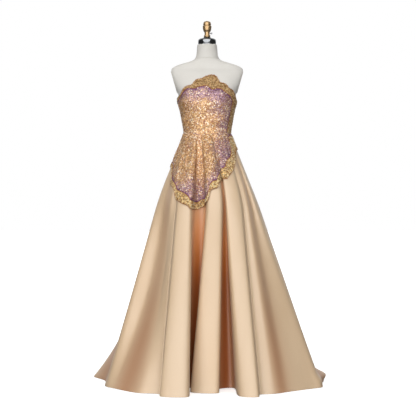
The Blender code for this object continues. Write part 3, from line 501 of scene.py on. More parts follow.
def shell(name, grid, thickness, look):
    """A cloth wall whose outer face is the grid. Rows go up, and columns go anticlockwise."""
    rows, columns = grid.shape[:2]
    inside = grid - normals_of(grid) * thickness
    count = rows * columns
    outer, inner = grid_faces(rows, columns), grid_faces(rows, columns, count)[:, ::-1]
    number = np.arange(count).reshape(rows, columns)
    ring = np.concatenate([number[0], number[1:, -1], number[-1, -2::-1], number[-2:0:-1, 0]])
    after = np.roll(ring, -1)
    rim = np.stack([ring, ring + count, after + count, after], -1)
    points = np.concatenate([grid.reshape(-1, 3), inside.reshape(-1, 3)])
    obj = mesh_of(name, points, np.concatenate([outer, inner, rim]), look)
    steps = np.linalg.norm(np.diff(grid, axis=1), axis=2)
    across = np.concatenate([np.zeros((rows, 1)), np.cumsum(steps, 1)], 1)
    across = across - across[:, [columns // 2]]
    flat = np.stack([across, grid[..., 2]], -1).reshape(-1, 2)
    uv = obj.data.uv_layers.new(name="cloth")
    corner = np.zeros(len(obj.data.loops), np.int32)
    obj.data.loops.foreach_get("vertex_index", corner)
    uv.data.foreach_set("uv", flat[corner % count].astype(np.float32).ravel())
    return obj


def round_steps(count):
    return np.linspace(0, 2 * math.pi, count, endpoint=False)


def turned(name, rows, look, steps):
    """A solid of revolution about Z from radius and level pairs, bottom to top, closed at both ends."""
    rows = np.array([(0.0001, rows[0][1]), *rows, (0.0001, rows[-1][1])])
    angle = round_steps(steps)
    radius, level = rows[:, :1], np.repeat(rows[:, 1:], steps, 1)
    grid = np.stack([radius * np.cos(angle), radius * np.sin(angle), level], -1)
    return sealed(mesh_of(name, grid, grid_faces(len(rows), steps, 0, True), look))


def tube(points, normals, radius, sides=5, closed=False):
    """Round cords along points that lie on a surface with the normals: their points and faces.

    points is one cord, or several of the same count in a further dimension in front."""
    points, normals = np.asarray(points), np.asarray(normals)
    if points.ndim == 2:
        points, normals = points[None], normals[None]
    cords, n = points.shape[:2]
    along = np.roll(points, -1, 1) - np.roll(points, 1, 1) if closed else np.gradient(points, axis=1)
    side = unit(np.cross(unit(along + 1e-12), normals))
    angle = round_steps(sides)[:, None]
    normals, side = normals[:, :, None], side[:, :, None]
    ring = points[:, :, None] + radius * (np.cos(angle) * normals + np.sin(angle) * side)
    r, c = np.meshgrid(np.arange(n if closed else n - 1), np.arange(sides), indexing="ij")
    ahead, turn = (r + 1) % n, (c + 1) % sides
    row, after = r * sides, ahead * sides
    faces = np.stack([row + c, after + c, after + turn, row + turn], -1).reshape(-1, 4)
    faces = faces[None] + n * sides * np.arange(cords)[:, None, None]
    return ring.reshape(-1, 3), faces.reshape(-1, 4)


def gather(parts):
    """Several sets of points and faces as one."""
    points, faces, start = [], [], 0
    for p, f in parts:
        points.append(p)
        faces.append(f + start)
        start += len(p)
    return np.concatenate(points), np.concatenate(faces)


# A ball of 20 triangles
GOLDEN = (1 + math.sqrt(5)) / 2
BALL_POINTS = np.array([(-1, GOLDEN, 0), (1, GOLDEN, 0), (-1, -GOLDEN, 0), (1, -GOLDEN, 0)])
BALL_POINTS = unit(np.concatenate([np.roll(BALL_POINTS, turn, 1) for turn in range(3)]))
BALL_FACES = np.array(
    [
        *((0, 11, 5), (0, 5, 1), (0, 1, 7), (0, 7, 10), (0, 10, 11), (1, 5, 9), (5, 11, 4)),
        *((11, 10, 2), (10, 7, 6), (7, 1, 8), (3, 9, 4), (3, 4, 2), (3, 2, 6), (3, 6, 8)),
        *((3, 8, 9), (4, 9, 5), (2, 4, 11), (6, 2, 10), (8, 6, 7), (9, 8, 1)),
    ]
)


def balls(centres, radii):
    """Round beads at the centres."""
    centres, radii = np.asarray(centres), np.broadcast_to(radii, len(centres))
    points = centres[:, None] + BALL_POINTS * radii[:, None, None]
    faces = BALL_FACES[None] + 12 * np.arange(len(centres))[:, None, None]
    return points.reshape(-1, 3), faces.reshape(-1, 3)


# Tilts in radians, and the cup of a sequin in shares of its radius
SEQUIN_LEAN, LEAN_SPREAD, TURN_SPREAD = 0.12, 0.17, 0.19
CUP_TOP, CUP_LOW = 0.16, 0.10
# The sequins with a painted glint, a near-white colour for highlights: their lift in metres, growth in size
# and share of all sequins
GLINT_LIFT, GLINT_GROWTH, GLINT_SHARE = 0.0005, 0.22, 0.042


def discs(centres, along, normals, radius, seed, glint):
    """Cupped sequins, six-sided and closed, each tilted its own way. Those with a painted glint are larger.
    """
    draw = np.random.default_rng(seed)
    count = len(centres)
    up = np.cross(normals, along)
    lean = SEQUIN_LEAN + draw.normal(0, LEAN_SPREAD, count) * (1 - glint)
    turn = draw.normal(0, TURN_SPREAD, count) * (1 - glint)
    centres = centres + normals * (GLINT_LIFT * glint[:, None])
    normal = unit(normals + up * lean[:, None] + along * turn[:, None])
    first = unit(np.cross(up, normal))
    second = np.cross(normal, first)
    angle = round_steps(6)
    size = (radius * draw.uniform(0.9, 1.08, count) * (1 + GLINT_GROWTH * glint))[:, None, None]
    spread = np.cos(angle)[None, :, None] * first[:, None] + np.sin(angle)[None, :, None] * second[:, None]
    rim = centres[:, None] + size * spread
    top = (centres + normal * radius * CUP_TOP)[:, None]
    low = (centres - normal * radius * CUP_LOW)[:, None]
    points = np.concatenate([rim, top, low], 1)
    sides = [(k, (k + 1) % 6) for k in range(6)]
    faces = np.array([(a, b, 6) for a, b in sides] + [(b, a, 7) for a, b in sides])
    faces = faces[None] + 8 * np.arange(count)[:, None, None]
    return points.reshape(-1, 3), faces.reshape(-1, 3)


def spread_rows(point, levels, a_start, a_end, pitch, dense, keep):
    """Places about a pitch apart on a surface, in rows at the levels. keep(a, z) says which stay."""
    found_a, found_z = [], []
    line = np.linspace(a_start, a_end, dense)
    for k, z in enumerate(levels):
        path = point(line, np.full(dense, z), 0.0)
        far = np.concatenate([[0], np.cumsum(np.linalg.norm(np.diff(path, axis=0), axis=1))])
        marks = np.arange((0.5 if k % 2 else 0.0) * pitch + 0.25 * pitch, far[-1], pitch)
        a = np.interp(marks, far, line)
        stay = keep(a, np.full(len(a), z))
        found_a.append(a[stay])
        found_z.append(np.full(int(stay.sum()), z))
    return np.concatenate(found_a), np.concatenate(found_z)


# Materials


class Look:
    """A material and short calls that build its nodes."""

    def __init__(self, name, colour, roughness, metallic=0.0, **sockets):
        self.material = bpy.data.materials.new(name)
        self.material.use_nodes = True
        self.tree = self.material.node_tree
        self.shader = self.tree.nodes["Principled BSDF"]
        self.set("Base Color", colour)
        self.set("Roughness", roughness)
        self.set("Metallic", metallic)
        for socket, value in sockets.items():
            self.set(socket.replace("_", " "), value)

    def fill(self, socket, value):
        """Links a socket to another, or gives it a value."""
        if isinstance(value, bpy.types.NodeSocket):
            self.tree.links.new(value, socket)
        else:
            colour = socket.type == "RGBA" and isinstance(value, tuple)
            socket.default_value = (*value, 1.0) if colour else value

    def set(self, socket, value):
        self.fill(self.shader.inputs[socket], value)

    def add(self, kind, settings=None, **inputs):
        node = self.tree.nodes.new("ShaderNode" + kind)
        for key, value in (settings or {}).items():
            setattr(node, key, value)
        for key, value in inputs.items():
            self.fill(node.inputs[int(key[1:]) if key[1:].isdigit() else key], value)
        return node

    def place(self, scale=(1, 1, 1), cloth=False):
        """Coordinates in metres: of the part, or of the laid out cloth."""
        if cloth:
            source = self.add("UVMap", {"uv_map": "cloth"}).outputs["UV"]
        else:
            source = self.add("TexCoord").outputs["Object"]
        return self.add("Mapping", Vector=source, Scale=scale).outputs["Vector"]

    def noise(self, scale, detail=2.0, stretch=(1, 1, 1)):
        return self.add("TexNoise", Vector=self.place(stretch), Scale=scale, Detail=detail).outputs["Fac"]

    def math(self, operation, a, b=0.5):
        return self.add("Math", {"operation": operation}, i0=a, i1=b).outputs[0]

    def spread(self, value, low, high, to_low=0.0, to_high=1.0):
        return self.add("MapRange", Value=value, i1=low, i2=high, i3=to_low, i4=to_high).outputs[0]

    def mix(self, factor, a, b):
        return self.add("Mix", {"data_type": "RGBA"}, i0=factor, i6=a, i7=b).outputs[2]

    def painted(self, name):
        return self.add("Attribute", {"attribute_name": name}).outputs["Fac"]

    def weave(self, pitch, cloth=True):
        """Threads crossing at right angles, as a height from 0 to 1."""
        scale = 2 * math.pi / (20 * pitch)  # the node has 20 / (2 pi) bands in a length of 1
        rows = []
        for way in ("X", "Y" if cloth else "Z"):
            settings = {"wave_type": "BANDS", "bands_direction": way}
            wave = self.add("TexWave", settings, Vector=self.place(cloth=cloth), Scale=scale)
            rows.append(wave.outputs["Fac"])
        return self.math("MAXIMUM", *rows)

    def bump(self, *layers):
        """Bump from pairs of height and depth in metres."""
        last = None
        for height, depth in layers:
            node = self.add("Bump", Height=height, Distance=depth, Strength=1.0)
            if last is not None:
                self.tree.links.new(last, node.inputs["Normal"])
            last = node.outputs["Normal"]
        self.set("Normal", last)


def satin_look():
    look = Look("champagne_satin", (0.8, 0.6, 0.4), 0.40, Sheen_Weight=0.12, Sheen_Roughness=0.45)
    look.set("Anisotropic", 0.35)
    look.set("Sheen Tint", srgb(255, 240, 222))
    look.set("Specular IOR Level", 0.80)
    cloudy = look.spread(look.noise(5.0, 3.0, (1, 1, 0.35)), 0.3, 0.7)
    base = look.mix(cloudy, srgb(216, 190, 158), srgb(210, 182, 148))
    # painted shade for the folds: dark brown low down, turning to a painted orange glow of bounced light as
    # the painted number high rises
    depth = look.mix(look.painted("high"), srgb(166, 86, 28), srgb(220, 128, 28))
    # the painted shade darkens the satin's colour in the gaps, the valleys and on the side slopes
    base = look.mix(look.painted("deep"), base, depth)
    slubs = look.spread(look.noise(900.0, 2.0, (1, 1, 0.08)), 0.35, 0.65)
    look.set("Base Color", look.mix(look.math("MULTIPLY", slubs, 0.10), base, srgb(190, 150, 104)))
    look.set("Roughness", look.spread(look.noise(14.0, 2.0, (1, 1, 0.3)), 0.3, 0.7, 0.36, 0.47))
    look.bump(
        (look.noise(9.0, 2.0, (1, 1, 0.22)), 0.0030),
        (look.noise(38.0, 2.0, (1, 1, 0.3)), 0.0005),
        (look.weave(0.0007), 0.00003),
    )
    return look.material


def sequin_look(name, shine, dark):
    """Gold that turns lilac where the painted number says, in small flakes of light and dark."""
    look = Look(name, (0.8, 0.6, 0.4), 0.3, shine, Sheen_Weight=0.0)
    own = look.painted("own")
    gold = look.mix(own, srgb(178, 114, 56), srgb(254, 214, 156))
    lilac = look.mix(own, srgb(120, 78, 99), srgb(208, 172, 188))
    rim = srgb(122, 74, 126)
    colour = look.mix(look.painted("lilac"), gold, lilac)
    colour = look.mix(look.painted("rim"), colour, rim)
    # painted glint: a few sequins painted near white as highlights
    colour = look.mix(look.painted("glint"), colour, srgb(255, 240, 212))
    colour = look.mix(dark, colour, srgb(70, 44, 30))
    look.set("Base Color", colour)
    look.set("Roughness", look.spread(own, 0.0, 1.0, 0.50, 0.34))
    return look


def net_look():
    look = sequin_look("sequin_net", 0.25, 0.35)
    look.set("Roughness", 0.6)
    cells = look.add("TexVoronoi", Vector=look.place(), Scale=420.0).outputs["Distance"]
    look.bump((cells, 0.0006), (look.noise(120.0, 2.0), 0.0006))
    return look.material


def lace_look(name, low, high, bright_low, bright_high, roughness):
    look = Look(name, low, roughness, 0.40)
    shade = look.spread(look.noise(120.0, 3.0), 0.42, 0.60)
    plain, bright = look.mix(shade, low, high), look.mix(shade, bright_low, bright_high)
    colour = look.mix(look.painted("bright"), plain, bright)
    look.set("Base Color", look.mix(look.painted("edge"), colour, srgb(168, 98, 36)))
    look.bump((look.noise(700.0, 2.0), 0.0005))
    return look.material


def net_ground_look():
    """The net that the lace is worked on: gold thread over open cells."""
    look = Look("gold_lace_net", (0.5, 0.3, 0.1), 0.5, 0.20)
    cells = look.add("TexVoronoi", {"feature": "DISTANCE_TO_EDGE"}, Vector=look.place(), Scale=330.0)
    thread = look.spread(cells.outputs["Distance"], 0.04, 0.16, 1.0, 0.0)
    patches = look.spread(look.noise(120.0, 3.0), 0.40, 0.60)
    plain = look.mix(thread, look.mix(patches, srgb(96, 57, 26), srgb(208, 170, 120)), srgb(214, 173, 112))
    bright = look.mix(thread, look.mix(patches, srgb(112, 64, 22), srgb(255, 218, 156)), srgb(255, 214, 138))
    colour = look.mix(look.painted("bright"), plain, bright)
    look.set("Base Color", look.mix(look.painted("edge"), colour, srgb(170, 100, 38)))
    look.bump((thread, 0.0008))
    return look.material


def linen_look():
    look = Look("linen", (0.8, 0.8, 0.8), 0.85, Sheen_Weight=0.05)
    shade = look.spread(look.noise(7.0, 3.0), 0.3, 0.7)
    slubs = look.spread(look.noise(420.0, 2.0, (0.15, 0.15, 1)), 0.4, 0.7)
    base = look.mix(shade, srgb(213, 210, 204), srgb(206, 202, 195))
    look.set("Base Color", look.mix(look.math("MULTIPLY", slubs, 0.18), base, srgb(196, 192, 182)))
    look.bump((look.weave(0.0011, False), 0.00010), (look.noise(60.0, 2.0), 0.0004))
    return look.material


def plain_look(name, low, high, scale, roughness, metallic=0.0, stretch=(1, 1, 1), depth=0.0001, **sockets):
    look = Look(name, low, roughness, metallic, **sockets)
    shade = look.spread(look.noise(scale, 3.0, stretch), 0.35, 0.65)
    look.set("Base Color", look.mix(shade, low, high))
    rubbed = look.noise(scale * 1.7, 2.0, stretch)
    look.set("Roughness", look.spread(rubbed, 0.3, 0.7, roughness * 0.85, roughness * 1.2))
    look.bump((look.noise(scale * 2.3, 2.0, stretch), depth))
    return look.material


SATIN_LOOK = satin_look()
SEQUINS = sequin_look("sequins", 0.22, 0.0).material
NET = net_look()
LACE_NET = net_ground_look()
CORD_COLOURS = srgb(138, 84, 31), srgb(236, 206, 150), srgb(156, 90, 28), srgb(255, 240, 190)
BEAD_COLOURS = srgb(226, 196, 148), srgb(255, 244, 222), srgb(255, 226, 176), srgb(255, 252, 240)
CORD = lace_look("gold_lace_cord", *CORD_COLOURS, 0.34)
BEADS = lace_look("gold_lace_beads", *BEAD_COLOURS, 0.16)
LINEN = linen_look()
BOARD = plain_look("plate_board", srgb(202, 195, 182), srgb(194, 186, 172), 30.0, 0.6, depth=0.0002)
CHROME = plain_look("chrome", srgb(152, 154, 157), srgb(136, 138, 141), 60.0, 0.14, 1.0, depth=0.00002)
BRASS = plain_look("brass", srgb(196, 164, 122), srgb(176, 144, 102), 90.0, 0.32, 0.75, (1, 1, 6), 0.00002)
BLACK = plain_look("black_metal", srgb(52, 50, 48), srgb(38, 37, 36), 80.0, 0.42, 0.4, depth=0.00006)
LINEN_THREAD = plain_look("linen_thread", srgb(206, 202, 192), srgb(188, 184, 174), 900.0, 0.7)


# Camera, light and floor

camera = bpy.data.objects.new("camera", bpy.data.cameras.new("camera"))
camera.data.lens, camera.data.sensor_width = 103.85, 36.0
camera.location, camera.rotation_euler = (0.0045, -6.0, 0.88), (math.pi / 2, 0, 0)
bpy.context.scene.collection.objects.link(camera)
bpy.context.scene.camera = camera
bpy.context.scene.view_settings.view_transform = "Standard"


def sun(name, azimuth, elevation, strength, softness):
    """A distant light that comes from in front at azimuth 0, and from the viewer's right at 90."""
    lamp = bpy.data.lights.new(name, "SUN")
    lamp.energy, lamp.angle = strength, math.radians(softness)
    obj = bpy.data.objects.new(name, lamp)
    obj.rotation_euler = (math.radians(90 - elevation), 0, math.radians(azimuth))
    bpy.context.scene.collection.objects.link(obj)


sun("key", -6, 14, 4.15, 92)
sun("back", 180, 40, 1.5, 100)
world = bpy.data.worlds.new("studio")  # white where it is seen, and a faint light where it isn't
world.use_nodes = True
bpy.context.scene.world = world
back = world.node_tree.nodes["Background"]
rays = world.node_tree.nodes.new("ShaderNodeLightPath")
level = world.node_tree.nodes.new("ShaderNodeMapRange")
level.inputs["To Min"].default_value, level.inputs["To Max"].default_value = 0.06, 1.0
world.node_tree.links.new(rays.outputs["Is Camera Ray"], level.inputs["Value"])
world.node_tree.links.new(level.outputs[0], back.inputs["Strength"])
back.inputs["Color"].default_value = (1, 1, 1, 1)

FLOOR = plain_look("studio_floor", srgb(250, 250, 250), srgb(247, 247, 247), 2.0, 0.9)
floor_shader = FLOOR.node_tree.nodes["Principled BSDF"]
floor_shader.inputs["Emission Color"].default_value = (1, 1, 1, 1)
floor_shader.inputs["Emission Strength"].default_value = 0.60
floor_mesh = bpy.data.meshes.new("floor")
floor_mesh.from_pydata([(-40, -40, 0), (40, -40, 0), (40, 40, 0), (-40, 40, 0)], [], [(0, 1, 2, 3)])
floor_mesh.materials.append(FLOOR)
floor = bpy.data.objects.new("floor", floor_mesh)
bpy.context.scene.collection.objects.link(floor)
floor.visible_diffuse = floor.visible_glossy = False  # a white floor would light the gown from below


# Skirt

COLUMN = 1 / 3  # the seams lie on lines of the solids, a few columns beside a fold
SEAM_AT = {
    "centre_back": 0.0,
    "back_right": fold_index("back_right_valley") + COLUMN,
    "side_right": fold_index("flare_valley") + COLUMN,
    "front_right": float(fold_index("right_seam")),
    "front_left": float(fold_index("left_seam")),
    "side_left": fold_index("left_crest") + 2 * COLUMN,
    "back_left": fold_index("roll_crest") + 2 * COLUMN,
    "end": float(FOLD_COUNT),
}
# Each gore, and the bodice panels that it hangs from. They lie between the seams in their order.
GORES = [
    ("skirt_back_right", ["bodice_back_right"]),
    ("skirt_side_back_right", ["bodice_side_right"]),
    ("skirt_side_front_right", ["bodice_side_right", "bodice_front"]),
    ("skirt_front", ["bodice_front"]),
    ("skirt_side_front_left", ["bodice_side_left", "bodice_front"]),
    ("skirt_side_back_left", ["bodice_side_left"]),
    ("skirt_back_left", ["bodice_back_left"]),
]
HIP_PIECES = [
    ("back_right", "centre_back", "side_right"),
    ("front", "side_right", "side_left"),
    ("back_left", "side_left", "end"),
]
# Fold lines beside which the satin gets painted shade: the deep gaps, the side slopes and the valleys
GAPS, SHADED_SLOPES = ("gap1_right", "gap2_right"), ("right_front_crest", "left_front_crest")
VALLEYS = ["train_right_valley", "back_right_valley", "flare_valley"]
VALLEYS += ["roll_valley", "back_left_valley", "train_left_valley"]
CLOTH_WALL = 0.0016
Cloth = namedtuple("Cloth", "piece grid held rests_on turn")


def fine_columns(start, end, each):
    count = max(8, round((SEAM_AT[end] - SEAM_AT[start]) * each))
    return np.linspace(SEAM_AT[start], SEAM_AT[end], count + 1)


def seam_dip(t, depth=0.0009, reach=0.06):
    """How far the cloth is drawn in beside the seams at both ends of a piece."""
    return -depth * (bump(t, t[0], reach) + bump(t, t[-1], reach))


def edge_shift(t, gap):
    shift = np.zeros((1, len(t), 1))
    shift[0, 0], shift[0, -1] = gap, -gap
    return shift


def near_folds(t, names, aside, reach):
    return sum(bump(t, fold_index(name) + aside, reach) for name in names)


levels = [[HEM_Z, 0.0026, 0.005, 0.012, 0.022, 0.0245, 0.027], np.linspace(0.036, SKIRT_TOP_Z, 112)]
skirt_levels = np.concatenate(levels)[:, None]
for (name, above), start, end in zip(GORES, SEAM_AT, list(SEAM_AT)[1:]):
    t = fine_columns(start, end, 13)
    z = np.repeat(skirt_levels, len(t), 1)
    hem = 0.0004 * (1 - ramp(z, 0.0225, 0.0265)) - 0.0006 * (1 - ramp(z, HEM_Z, 0.004))
    grid = skirt_point(t[None, :], z, seam_dip(t)[None, :] + hem, edge_shift(t, SEAM_GAP / 2))
    piece = stand_for(shell(name, grid, CLOTH_WALL, SATIN_LOOK), "champagne_satin", name)
    # painted shade in the gaps and valleys, less of it higher up, and on the side slopes that turn away from
    # the light
    deep = near_folds(t, GAPS, 0.5, 0.85) + 0.54 * near_folds(t, VALLEYS, 0.0, 0.7)
    painted_slope_shade = 0.52 * near_folds(t, SHADED_SLOPES, 0.5, 0.5)
    paint_wall(piece, "deep", deep * (1 - 0.6 * ramp(z, 0.55, 1.0)) + painted_slope_shade * (1 - 0.6 * ramp(z, 0.2, 0.7)))
    # the level at which the painted fold shade turns to a painted orange glow of bounced light
    paint_wall(piece, "high", ramp(z, 0.45, 0.80))


# Colour of the sequins


def lilac_share(place, z, boundary):
    """How lilac the sequins are: at the top, on the wearer's left, and low down. The middle is gold."""
    x, y = place[..., 0], place[..., 1]
    top = ramp(z, 1.385, 1.440)
    left = ramp(x + 0.25 * np.maximum(z - 1.25, 0), 0.015, 0.105) * ramp(z, 1.05, 1.12)
    side = ramp(x, 0.0, 0.07) * (1 - ramp(z, 1.18, 1.24))
    low = 1 - ramp(z, 0.96, 1.075)
    behind = 0.55 * ramp(y, -0.02, 0.05)
    near = 0.35 * (1 - ramp(boundary, 0.004, 0.030))
    gold = (1 - 0.80 * top) * (1 - 0.60 * left) * (1 - 0.50 * side) * (1 - 0.70 * low)
    gold = gold * (1 - behind) * (1 - near)
    return np.clip(1 - gold + 0.16 * wave_noise(x * 60, z * 60, 5), 0, 1)


def paint_net(obj, grid, boundary):
    z = grid[..., 2].ravel()
    boundary = boundary.ravel()
    paint_wall(obj, "own", np.full(len(z), 0.4))
    paint_wall(obj, "lilac", lilac_share(grid.reshape(-1, 3), z, boundary))
    paint_wall(obj, "rim", (1 - ramp(boundary, 0.003, 0.009)) * ramp(boundary, -0.008, -0.003))


SEQUIN_PITCH, SEQUIN_RADIUS = 0.0044, 0.0026
HEXAGON = 0.87  # rows lie this share of the pitch apart when each one sits in the gaps of the last
ROW_PITCH = SEQUIN_PITCH * HEXAGON
CORNERS_OF_SEQUIN = 8


def sequins(name, base, spots, point, turn, lift, boundary, seed):
    """Sequins on a piece of cloth, at places on its surface. A few get a painted glint, a near-white colour
    for highlights.
    """
    a, z = spots
    place, along, normal = frame_of(point, a, z, turn, 0.0015)
    # the few sequins that get a painted glint
    glint = (np.random.default_rng(seed + 2).uniform(0, 1, len(a)) < GLINT_SHARE).astype(float)
    points, faces = discs(place + normal * lift(z)[:, None], along, normal, SEQUIN_RADIUS, seed, glint)
    obj = stand_for(mesh_of(name, points, faces, SEQUINS, smooth=False), "sequin_cloth")
    draw = np.random.default_rng(seed + 1)
    far = boundary(a, z)
    own = np.clip(draw.normal(0.5, 0.40, len(z)), 0, 1)
    share = np.clip(lilac_share(place, z, far) + draw.normal(0, 0.30, len(z)), 0, 1)
    rim = np.clip(1 - ramp(far, 0.003, 0.009), 0, 1) * (draw.uniform(0, 1, len(z)) > 0.2)
    for number, values in (("own", own), ("lilac", share), ("rim", rim * (1 - glint)), ("glint", glint)):
        paint(obj, number, np.repeat(values, CORNERS_OF_SEQUIN))


# Bodice


def bodice_boundary(bearing, z):
    """Rough distance down from the lace, which runs along the top and down the left side."""
    below = neckline_line("inner", bearing) - z
    beside = np.abs(np.clip(SIDE_STRIP_FRONT - bearing, 0, None)) * 0.0021
    behind = np.clip(bearing - SIDE_STRIP_BACK, 0, None) * 0.0019
    away = np.where(bearing > SIDE_STRIP_BACK, behind, 0.02)
    return np.minimum(below, np.where(bearing < SIDE_STRIP_FRONT, beside, away))


for name, start, end in BODICE_SEAMS:
    bearings = np.linspace(start, end, max(10, round((end - start) / 1.5)) + 1)
    top = neckline_line("top", bearings)
    z = BODICE_LOW_Z + (top - 0.001 - BODICE_LOW_Z) * np.linspace(0, 1, 46)[:, None]
    dip = -0.0006 * (bump(bearings, start, 1.2) + bump(bearings, end, 1.2))
    dip = dip - 0.0006 * bump(z, BODICE_LOW_Z, 0.004)
    grid = bodice_point(bearings[None, :], z, dip - 0.0002)
    for column, way in ((0, 1), (-1, -1)):
        grid[:, column] += unit(grid[:, column + way] - grid[:, column]) * SEAM_GAP / 2
    piece = stand_for(shell(name, grid, CLOTH_WALL, NET), "sequin_cloth", name)
    paint_net(piece, grid, bodice_boundary(np.repeat(bearings[None, :], len(z), 0), z))


def on_bodice(bearing, z):
    under = (bearing > SIDE_STRIP_FRONT + 1.5) & (bearing < SIDE_STRIP_BACK - 1.5)
    return (z < neckline_line("inner", bearing) + 0.002) & ~under


def bodice_lift(z):
    """The lowest row stands off the cloth and covers the waist seam."""
    return 0.0009 + 0.0020 * (1 - ramp(z, BODICE_LOW_Z, BODICE_LOW_Z + 0.007))


levels = np.arange(BODICE_LOW_Z - 0.0004, 1.482, ROW_PITCH)
for name, start, end in (("front", -92.0, 92.0), ("back_left", 92.0, 178.6), ("back_right", -178.6, -92.0)):
    spots = spread_rows(bodice_point, levels, start, end, SEQUIN_PITCH, 500, on_bodice)
    surface = bodice_point, 0.4, bodice_lift, bodice_boundary
    sequins("bodice_sequins_" + name, "bodice_" + name, spots, *surface, 31)


# Overlay


def hip_boundary(t, z):
    return z - overlay_line("inner", t)


def on_overlay(t, z):
    return z > overlay_line("inner", t) - 0.002


def overlay_lift(z):
    return np.full(len(z), 0.0008)


def scallop(far, pitch):
    """Round bites along an edge, from 0 at their tips to 1 between them."""
    return 1 - np.abs(np.sin(math.pi * far / pitch)) ** 0.7


for part, start, end in HIP_PIECES:
    name = "overlay_" + part
    t = fine_columns(start, end, 14)
    low, top = overlay_line("edge", t) + 0.004, SKIRT_TOP_Z - OVERLAY_DROP
    z = low + (top - low) * np.linspace(0, 1, 62)[:, None]
    dip = seam_dip(t, 0.0006, 0.05)[None, :] - 0.0004
    grid = hip_point(t[None, :], z, dip, edge_shift(t, SEAM_GAP))
    piece = stand_for(shell(name, grid, 0.0010, NET), "sequin_cloth", name)
    paint_net(piece, grid, hip_boundary(np.repeat(t[None, :], len(z), 0), z))
    levels = np.arange(top - 0.0006, 0.90, -ROW_PITCH)
    spots = spread_rows(hip_point, levels, t[0] + 0.02, t[-1] - 0.02, SEQUIN_PITCH, 1600, on_overlay)
    sequins("overlay_sequins_" + part, name, spots, hip_point, 0.01, overlay_lift, hip_boundary, 41)


# Lace

NET_THICKNESS, NET_LIFT = 0.0006, 0.0002
EDGE_CORD, FLOWER_CORD, BUD_CORD = 0.0010, 0.00075, 0.00055  # radii
SCALLOP_DEPTH, FLOWER_PITCH, FLOWER_SIZE, BUD_FROM = 0.0030, 0.0150, 0.0066, 0.0055
BEAD_PITCH, EDGE_BEAD, FLOWER_BEAD, FREE_BEADS = 0.0042, 0.0010, 0.0014, (0.0007, 0.0011)
bands = {}


def cord_along(point, a, z, out, da, radius, sides=5, closed=False):
    place = point(a, z, out)
    along = point(a + da, z, out) - point(a - da, z, out)
    up = point(a, z + 0.0015, out) - point(a, z - 0.0015, out)
    return tube(place, unit(np.cross(along, up)), radius, sides, closed)


def flowers(point, a, z, out, da, size, petals, turn, radius, steps=30):
    """Closed corded outlines with petals round each place on a surface."""
    along = np.linalg.norm(point(a + da, z, 0.0) - point(a - da, z, 0.0), axis=-1) / (2 * da)
    up = np.linalg.norm(point(a, z + 0.002, 0.0) - point(a, z - 0.002, 0.0), axis=-1) / 0.004
    angle = round_steps(steps)[None]
    reach = size[:, None] * (0.62 + 0.38 * np.cos(petals * angle))
    across = a[:, None] + reach * np.cos(angle + turn[:, None]) / along[:, None]
    level = z[:, None] + reach * np.sin(angle + turn[:, None]) / up[:, None]
    return cord_along(point, across, level, out, da, radius, 4, True)


def keep_lace(name, net, long, grid, cords, beads):
    """Joins the cords and the beads of a band, of which the first two cords are its dark edges."""
    work = sealed(mesh_of(name + "_cords", *gather(cords), CORD))
    edges = [np.full(len(points), 1.0 if k < 2 else 0.0) for k, (points, _) in enumerate(cords)]
    paint(work, "edge", np.concatenate(edges))
    places, sizes = (np.concatenate(parts) for parts in zip(*beads))
    dots = mesh_of(name + "_beads", *balls(places, sizes), BEADS)
    for piece in (net, work, dots):
        paint(piece, "bright", np.full(len(piece.data.vertices), 1.0 if "border" in name else 0.0))
    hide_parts(name)
    bands[name] = (net, long, (work, dots), grid)


